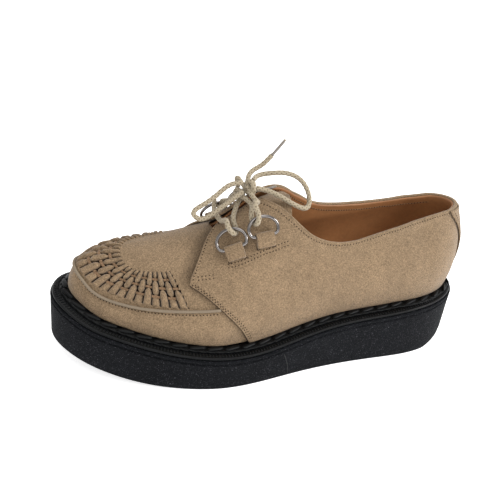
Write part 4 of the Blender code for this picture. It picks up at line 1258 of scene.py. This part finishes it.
def make_lining():
    one = [np.linspace(0, 1.0, 30), turn_of(np.linspace(0.235, 0.66, 60)), np.linspace(1.91, np.pi, 40)]
    turn = both_sides(np.concatenate(one))[:-1]
    rows = np.linspace(0, 1, 40)
    share = share_of(turn)
    part = (top_of_wall(turn) - 0.004 * (share < 0.50))[:, None] * rows[None]
    where = np.repeat(turn[:, None], len(rows), 1)
    drop = (lining_drop(share) - lift(share) + 0.0030 * soft(share, 0.55, 0.68))[:, None, None]
    points, normals = form_at(where, part)
    outer, inner = points - normals * drop, points - normals * (drop + LINING)
    inner[:, 0, 2] = np.maximum(inner[:, 0, 2], outer[:, 0, 2])
    n, m = where.shape
    top = sheet_faces(n, m, closed=True)
    i = np.arange(n)
    k = (i + 1) % n
    low_rim = np.stack([i * m, k * m, k * m + n * m, i * m + n * m], -1)
    high_rim = low_rim + m - 1
    faces = np.concatenate([top, top[:, ::-1] + n * m, low_rim, high_rim])
    verts = np.concatenate([outer.reshape(-1, 3), inner.reshape(-1, 3)])
    make("tan_lining", verts, faces, lining_leather, "upper", merge=2e-5)


make_weave()
make_vamp()
make_lining()


# Quarters: drawn between welt, back seam, collar and front edge.
def quarter_place(inner, a, v):
    """Turn and part at matched shares of the way forward and up."""
    start = 0.010
    collar_turns = np.concatenate([np.linspace(start, 1.0, 24), turn_of(np.linspace(0.25, 0.533, 30))])
    collar = np.column_stack([collar_turns, collar_part(on_side(collar_turns, inner), inner)])
    top = np.concatenate([collar, [(float(turn_of(s)), w) for s, w in THROAT]])
    front = np.array([(float(turn_of(s)), w) for s, w in FRONT])
    back = np.array([(start, 0.0), (start, collar[0, 1])])
    bottom = np.array([(t, 0.0) for t in np.linspace(start, front[0, 0], 30)])
    a, v = np.asarray(a, float), np.asarray(v, float)
    lower, upper_edge = along_line(bottom, a), along_line(top, a)
    rear, fore = along_line(back, v), along_line(front, v)
    one, other = a[:, None, None], v[None, :, None]
    ruled = lower[:, None] * (1 - other) + upper_edge[:, None] * other
    ruled = ruled + rear[None] * (1 - one) + fore[None] * one
    first, last = along_line(bottom, [0, 1]), along_line(top, [0, 1])
    ends = first[0] * (1 - one) * (1 - other) + first[1] * one * (1 - other) + last[0] * (1 - one) * other
    grid = ruled - ends - last[1] * one * other
    return on_side(grid[..., 0], inner), grid[..., 1]


def near_ends(count, steps):
    """Shares from 0 to 1, with small steps at the ends for a rounded edge."""
    steps = np.array(steps)
    return np.concatenate([steps, np.linspace(steps[-1], 1 - steps[-1], count)[1:-1], 1 - steps[::-1]])


def rounded(points, normals, thick, rim):
    """Both faces of a sheet, its edge rounded where rim, the distance from the edge, is small."""
    r = thick / 2
    cut = r - np.sqrt(np.clip(r**2 - np.clip(r - rim, 0, r) ** 2, 0, None))
    return points - normals * cut[..., None], points - normals * (thick - cut)[..., None]


def make_quarter(name, inner, node):
    a = near_ends(120, [0, 0.0006, 0.0016, 0.0032])
    v = near_ends(70, [0, 0.0012, 0.004, 0.008])
    turn, part = quarter_place(inner, a, v)
    points, normals = skin(turn, part, lift(share_of(turn)))
    rim_a = np.minimum(a, 1 - a)[:, None] * 0.23
    rim_v = (1 - v)[None] * 0.085
    outer, under = rounded(points, normals, LEATHER, np.minimum(rim_a, rim_v))
    make(name, *slab(outer, under), suede, node, [node])


def make_collar_rim():
    """The folded edge of suede round the collar, over quarter and lining."""
    one = np.concatenate([turn_of(np.linspace(0.545, 0.25, 90)), np.linspace(1.04, 0.0, 70)])
    turn = np.concatenate([one, -one[-2::-1]])
    inner = turn < 0
    part = np.where(inner, top_part(np.mod(turn, 2 * np.pi), True), top_part(turn, False))
    points, normals = form_at(turn, part)
    points = points + normals * (lift(share_of(turn)) + relief(turn, part))[:, None]
    up = unit(np.cross(normals, unit(np.gradient(points, axis=0))))
    up *= np.sign(up[:, 2:3])
    thick = 0.00145
    ends = np.minimum(np.arange(len(turn)), np.arange(len(turn))[::-1])
    size = np.sqrt(np.clip(1 - (1 - np.clip(ends / 6, 0, 1)) ** 2, 0.02, 1))[:, None]
    centre = points - normals * (thick - 0.0002) - up * 0.0004
    angle = round_angles(16)
    x, y = power(np.cos(angle), 0.8) * thick, power(np.sin(angle), 0.8) * 0.0009
    verts, faces = sweep(centre, normals, up, x[None] * size, y[None] * size)
    make("collar_rim", verts, faces, suede, "quarter_outer")


STRAP_LOW, STRAP_TOP = 0.16, 0.42  # half width of the strap, in turns of the outline
STRAP_OUT = 0.0017  # its outer face off the form


def strap_reach(v):
    return STRAP_LOW + (STRAP_TOP - STRAP_LOW) * v**2


def make_strap():
    v = near_ends(30, [0, 0.004, 0.012])
    a = near_ends(40, [0, 0.008, 0.02])
    turn = (2 * a[None] - 1) * strap_reach(v)[:, None]
    ends = turn[:, :: len(a) - 1]
    tops = np.array([[collar_part(abs(t), t < 0)[0] for t in row] for row in ends])
    tops = tops[:, :1] * (1 - a)[None] + tops[:, 1:] * a[None]
    part = v[:, None] * tops
    points, normals = form_at(np.mod(turn, 2 * np.pi), part)
    points = points + normals * STRAP_OUT
    rim = np.minimum(np.minimum(a, 1 - a)[None] * 0.05, np.minimum(v, 1 - v)[:, None] * 0.09)
    outer, under = rounded(points, normals, LEATHER, rim)
    make("heel_strap", *slab(outer, under), suede, "back_strap", ["back_strap"])
    for name, column_at in (("strap_line_outer", -1), ("strap_line_inner", 0)):
        verts, faces = round_tube(under[:, column_at], 0.0002, 6)
        make(name, verts, faces, hole, "back_strap")


make_quarter("quarter_suede_outer", False, "quarter_outer")
make_quarter("quarter_suede_inner", True, "quarter_inner")
make_collar_rim()
make_strap()


# Piping along the apron seam.
def seam_turns(count, first=0.653):
    return both_sides(np.linspace(float(turn_of(first)), np.pi, count))


def make_piping():
    turn = seam_turns(130)
    seam, _ = form_at(turn, np.full(len(turn), CORNER - 0.012))
    seam = seam + outward_of(turn) * 0.0008 + np.array([0, 0, 0.0005])
    verts, faces = round_tube(seam, 0.00095, 14)
    make("seam_piping", verts, faces, piping_leather, "apron_piping", ["apron_piping"])


make_piping()


# Tongue: suede over a peach lining, under the facings.
# share of the length, lowest part of the section on either side, height where it levels off by INSTEP
TONGUE = [
    (0.640, 0.84, 0.90),
    (0.618, 0.79, 0.91),
    (0.595, 0.73, 0.925),
    (0.570, 0.67, 0.94),
    (0.545, 0.62, 0.955),
    (0.520, 0.57, 0.965),
    (0.495, 0.53, 0.97),
    (0.474, 0.52, 0.97),
]


def make_tongue():
    under = LEATHER + APART + LINING + 0.0019
    share = np.concatenate([np.linspace(0.640, 0.478, 26), [0.4755, 0.4743, 0.474]])
    table = np.array(TONGUE)[::-1]
    lowest, level = (steady(table[:, 0], table[:, k])(share) for k in (1, 2))
    rows = []
    for s, start, top in zip(share, lowest, level):
        turn = float(turn_of(s))
        up = start + (1.0 - start) * near_ends(18, [0, 0.004, 0.012])[:-2]
        up = np.append(up[:-1], 0.995)
        over_outer, normal_outer = form_at(np.full(len(up), turn), up)
        over_inner, normal_inner = form_at(np.full(len(up) - 1, 2 * np.pi - turn), up[:-1][::-1])
        normals = np.concatenate([normal_outer, normal_inner])
        over = np.concatenate([over_outer, over_inner]) - under * normals
        over[:, 2] += lift(s)
        k = 0.002
        over[:, 2] = -k * np.log(np.exp(-over[:, 2] / k) + np.exp(-top * INSTEP / k))
        rows.append(over)
    grid = np.array(rows)
    down = np.array([0.0, 0.0, 1.0]) + np.zeros(grid.shape)
    n, m = grid.shape[:2]
    from_ends = np.minimum(np.arange(m), np.arange(m)[::-1])[None]
    rim = np.minimum(np.arange(n)[::-1][:, None], from_ends) * 0.0003
    outer, inner = rounded(grid, down, LEATHER, rim)
    make("tongue_suede", *slab(outer, inner), suede, "tongue", ["tongue"])
    shown = inner[share < 0.53]
    verts, faces = slab(shown - down[0] * 0.00002, shown - down[0] * 0.0011)
    make("tongue_lining", verts, faces, peach_leather, "tongue")


make_tongue()


# Rings and their folded tabs.
def ring_path():
    bow = np.linspace(0, math.pi, 41)
    arc = [(RING_HALF * math.cos(a), RING_LONG - RING_ROUND * (1 - math.sin(a))) for a in bow]
    corner_turn = [(-0.0099, 0.0036), (-0.0096, 0.0022), (-0.0089, 0.0010), (-0.0079, 0.0003), (-0.0062, 0)]
    other_turn = [(-x, y) for x, y in reversed(corner_turn)]
    return np.array(arc + corner_turn + [(-0.003, 0.0), (0.0, 0.0), (0.003, 0.0)] + other_turn)


def make_rings():
    flat = ring_path()
    for (number, side_name), here in ring_frames.items():
        node = f"d_ring_{number}_{side_name}"
        path = placed(here, [(x, y + BAR_UP, BAR_OFF + RING_RISE * y / RING_LONG) for x, y in flat])
        verts, faces = round_tube(path, WIRE, 16, closed=True)
        make(f"ring_wire_{number}_{side_name}", verts, faces, nickel, node, [node])
        make_tab(number, side_name, here)


def make_tab(number, side_name, here):
    """A strap folded round the ring's bar, its two layers sewn together below."""
    bore, reach = WIRE + 0.0003, WIRE + 0.0003 + TAB_THICK
    bend = np.linspace(-math.pi / 2, math.pi / 2, 17)
    outer = [(reach * math.cos(a) + BAR_UP, BAR_OFF + reach * math.sin(a)) for a in bend]
    inner = [(bore * math.cos(a) + BAR_UP, BAR_OFF + bore * math.sin(a)) for a in bend]
    low_n = BAR_OFF - reach
    outer += [(0.0012, BAR_OFF + reach * 0.95), (-0.0006, BAR_OFF + reach * 0.74), (-0.0022, low_n + 0.0032)]
    outer += [(-0.0034, low_n + 0.0027), (-TAB_LONG + 0.0003, low_n + 0.0024), (-TAB_LONG, low_n + 0.0018)]
    outer += [(-TAB_LONG, low_n + 0.0004), (-TAB_LONG + 0.0004, low_n), (-0.0025, low_n), (0.0, low_n)]
    inner += [(0.0014, BAR_OFF + bore * 0.85), (0.0004, BAR_OFF + bore * 0.5), (-0.0008, BAR_OFF - 0.0003)]
    inner += [(-0.0012, BAR_OFF - 0.0006), (-0.0012, BAR_OFF - 0.0007), (-0.0012, BAR_OFF - 0.0008)]
    inner += [(-0.0011, BAR_OFF - 0.0009), (-0.0008, BAR_OFF - 0.0010), (-0.0002, BAR_OFF - 0.0012)]
    inner += [(0.0004, BAR_OFF - bore)]
    outer, inner = np.array(outer), np.array(inner)
    total = len(outer)
    middle_line = (outer + inner) / 2
    ends = [(0.5, 1.0), (0.95, 1.0), (0.985, 0.85), (1.0, 0.55)]
    steps = [(-x, full) for x, full in reversed(ends)] + [(0, 1.0)] + ends
    verts = []
    for x, full in steps:
        for line in (outer, inner):
            section = middle_line + (line - middle_line) * full
            verts += [(x * TAB_HALF * (1 - 0.02 * k / total), y, z) for k, (y, z) in enumerate(section)]
    faces = []
    span = 2 * total
    for row in range(len(steps)):
        for k in range(total):
            q = (k + 1) % total
            if row < len(steps) - 1:
                faces.append((row * span + k, row * span + q, (row + 1) * span + q, (row + 1) * span + k))
                low_q, low_k = row * span + total + q, row * span + total + k
                faces.append((low_q, low_k, low_k + span, low_q + span))
            if row in (0, len(steps) - 1):
                near_k, near_q = row * span + k, row * span + q
                faces.append((near_k, near_q, near_q + total, near_k + total))
    node = f"ring_tab_{number}_{side_name}"
    make(f"ring_strap_{number}_{side_name}", placed(here, verts), faces, suede, node, [node])
    slots = []
    for x in (-TAB_HALF, TAB_HALF):
        line = [(x, -TAB_LONG + 0.0012, 0.0004), (x * 1.03, -TAB_LONG - 0.0001, 0.0003)]
        line = placed(here, line + [(x * 0.72, -TAB_LONG - 0.0004, 0.0003)])
        slots.append(round_tube(even(line, 0.0006), 0.00025, 6))
    verts, faces = joined(slots)
    make(f"ring_slot_{number}_{side_name}", verts, faces, hole, node)


make_rings()


# Stitches: short threads between small holes.
STITCH = 0.0022
rows_of_stitches = []


def stitch(points, normals):
    """Adds a row of stitches along a line on a surface."""
    run = run_of(points)
    count = int(run[-1] / STITCH)
    marks = (np.arange(count) + 0.5) / count * run[-1]
    place, normal = at_marks(run, points, marks), unit(at_marks(run, normals, marks))
    ahead, behind = at_marks(run, points, marks + 0.0004), at_marks(run, points, marks - 0.0004)
    rows_of_stitches.append((place, unit(ahead - behind), normal))


def capsules(name, finish, size, shift, out):
    """Small oblong bodies along every row, moved along it by shift and off the surface by out."""
    parts = []
    for place, along, normal in rows_of_stitches:
        centre = place + along * shift + normal * out
        parts.append(balls(centre, (along, np.cross(normal, along), normal), size, (6, 5), (1, 0.6)))
    make(name, *joined(parts), finish, "quarter_outer")


def on_quarter(inner, a, v, out=0.0):
    """A line on a quarter; a and v are matched."""
    places = [quarter_place(inner, [one], [other]) for one, other in zip(a, v)]
    turn, part = np.array(places)[:, :, 0, 0].T
    return skin(turn, part, lift(share_of(turn)) + out)


def sew_all():
    turn = seam_turns(160)
    stitch(*skin(turn, np.full(len(turn), CORNER - 0.036)))
    for inner in (False, True):
        front, throat = np.linspace(0.02, 0.545, 34), np.linspace(0.56, 0.985, 26)
        for off in (0.0085, 0.0165):
            stitch(*on_quarter(inner, np.full(34, 1 - off), front))
        stitch(*on_quarter(inner, np.full(26, 0.991), throat))
        stitch(*on_quarter(inner, np.linspace(0.055, 0.985, 70), np.full(70, 0.970)))
        # rows round the tabs: first and last share, count of points, first and last part of the section
        for first, last, count, start, end in (
            (0.634, 0.492, 24, 0.524, 0.446),
            (0.634, 0.492, 24, 0.502, 0.424),
            (0.706, 0.664, 10, 0.478, 0.478),
            (0.706, 0.664, 10, 0.455, 0.455),
        ):
            turn = on_side(turn_of(np.linspace(first, last, count)), inner)
            stitch(*skin(turn, np.linspace(start, end, count), lift(share_of(turn))))
        share = np.linspace(0.03, 0.50, 60)
        turn = on_side(turn_of(share), inner)
        points, normals = form_at(turn, collar_part(turn, inner) - 0.032)
        stitch(points - normals * (lining_drop(share) + LINING)[:, None], -normals)
    for side in (-1, 1):
        v = np.linspace(0.04, 0.94, 30)
        turn = side * strap_reach(v) * 0.86
        part = v * collar_part(np.abs(turn), side < 0)
        points, normals = form_at(np.mod(turn, 2 * np.pi), part)
        stitch(points + normals * STRAP_OUT, normals)
    capsules("stitch_threads", thread, (0.00075, 0.00021, 0.00018), 0.0, 0.00005)
    capsules("stitch_holes", hole, (0.00052, 0.00042, 0.00016), STITCH / 2, 0.00006)


sew_all()


def make_edges():
    """The cut edge of each quarter's front, dark against the vamp."""
    tubes = []
    for inner in (False, True):
        line, _ = on_quarter(inner, np.full(40, 1.0), np.linspace(0.01, 0.545, 40), -0.0009)
        tubes.append(round_tube(line, 0.0004, 6))
    make("quarter_edges", *joined(tubes), hole, "quarter_outer")


make_edges()


# The line where the crepe's strip is joined, in the outer wall.
def make_join():
    up = np.linspace(0.06, 0.97, 14)
    x = 0.0048 - 0.0063 * up + 0.0012 * np.sin(up * 3.2)
    turn = turn_of(0.5 - x / LENGTH)
    share = share_of(turn)
    z = floor_z(share) + (top_z(share) - floor_z(share) - 0.004) * up
    path = np.column_stack([edge(turn, flare(share) * up), z])
    verts, faces = round_tube(path, 0.00032, 6)
    make("crepe_join", verts, faces, dark_line, "outsole")


make_join()


# Floor and soft light.
def light(name, place, target, size, energy):
    lamp = bpy.data.lights.new(name, "AREA")
    lamp.shape = "RECTANGLE"
    lamp.size = lamp.size_y = size
    lamp.energy = energy
    holder = linked(name, lamp)
    holder.location = place
    holder.rotation_euler = (Vector(target) - Vector(place)).to_track_quat("-Z", "Y").to_euler()


def set_stage():
    low = [(-9, -9, 0), (9, -9, 0), (9, 9, 0), (-9, 9, 0)]
    walls = [(k, (k + 1) % 4, (k + 1) % 4 + 4, k + 4) for k in range(4)]
    for name, verts, faces, pale, glow in (
        ("floor", low, [(0, 1, 2, 3)], 0.93, 0.70),
        ("backdrop", low + [(x, y, 3.0) for x, y, _ in low], walls, 0.30, 0.62),
    ):
        mesh = bpy.data.meshes.new(name)
        mesh.from_pydata(verts, [], faces)
        white = dict(emission_color=(1, 1, 1, 1), emission_strength=glow)
        mesh.materials.append(surface(f"pale_{name}", (pale, pale, pale), 0.9, **white))
        linked(name, mesh)
    world = bpy.data.worlds.new("soft_room")
    world.use_nodes = True
    world.node_tree.nodes["Background"].inputs["Color"].default_value = (1, 1, 1, 1)
    world.node_tree.nodes["Background"].inputs["Strength"].default_value = 0.60
    bpy.context.scene.world = world
    light("key", (1.15, -0.62, 1.0), (0, 0, 0.04), 0.5, 17)
    light("fill", (-0.15, -1.0, 1.3), (0, 0, 0.05), 1.0, 5.5)
    light("top", (0.2, 0.3, 1.5), (0, 0, 0.04), 1.0, 8)
    bpy.context.scene.view_settings.view_transform = "Standard"


set_stage()
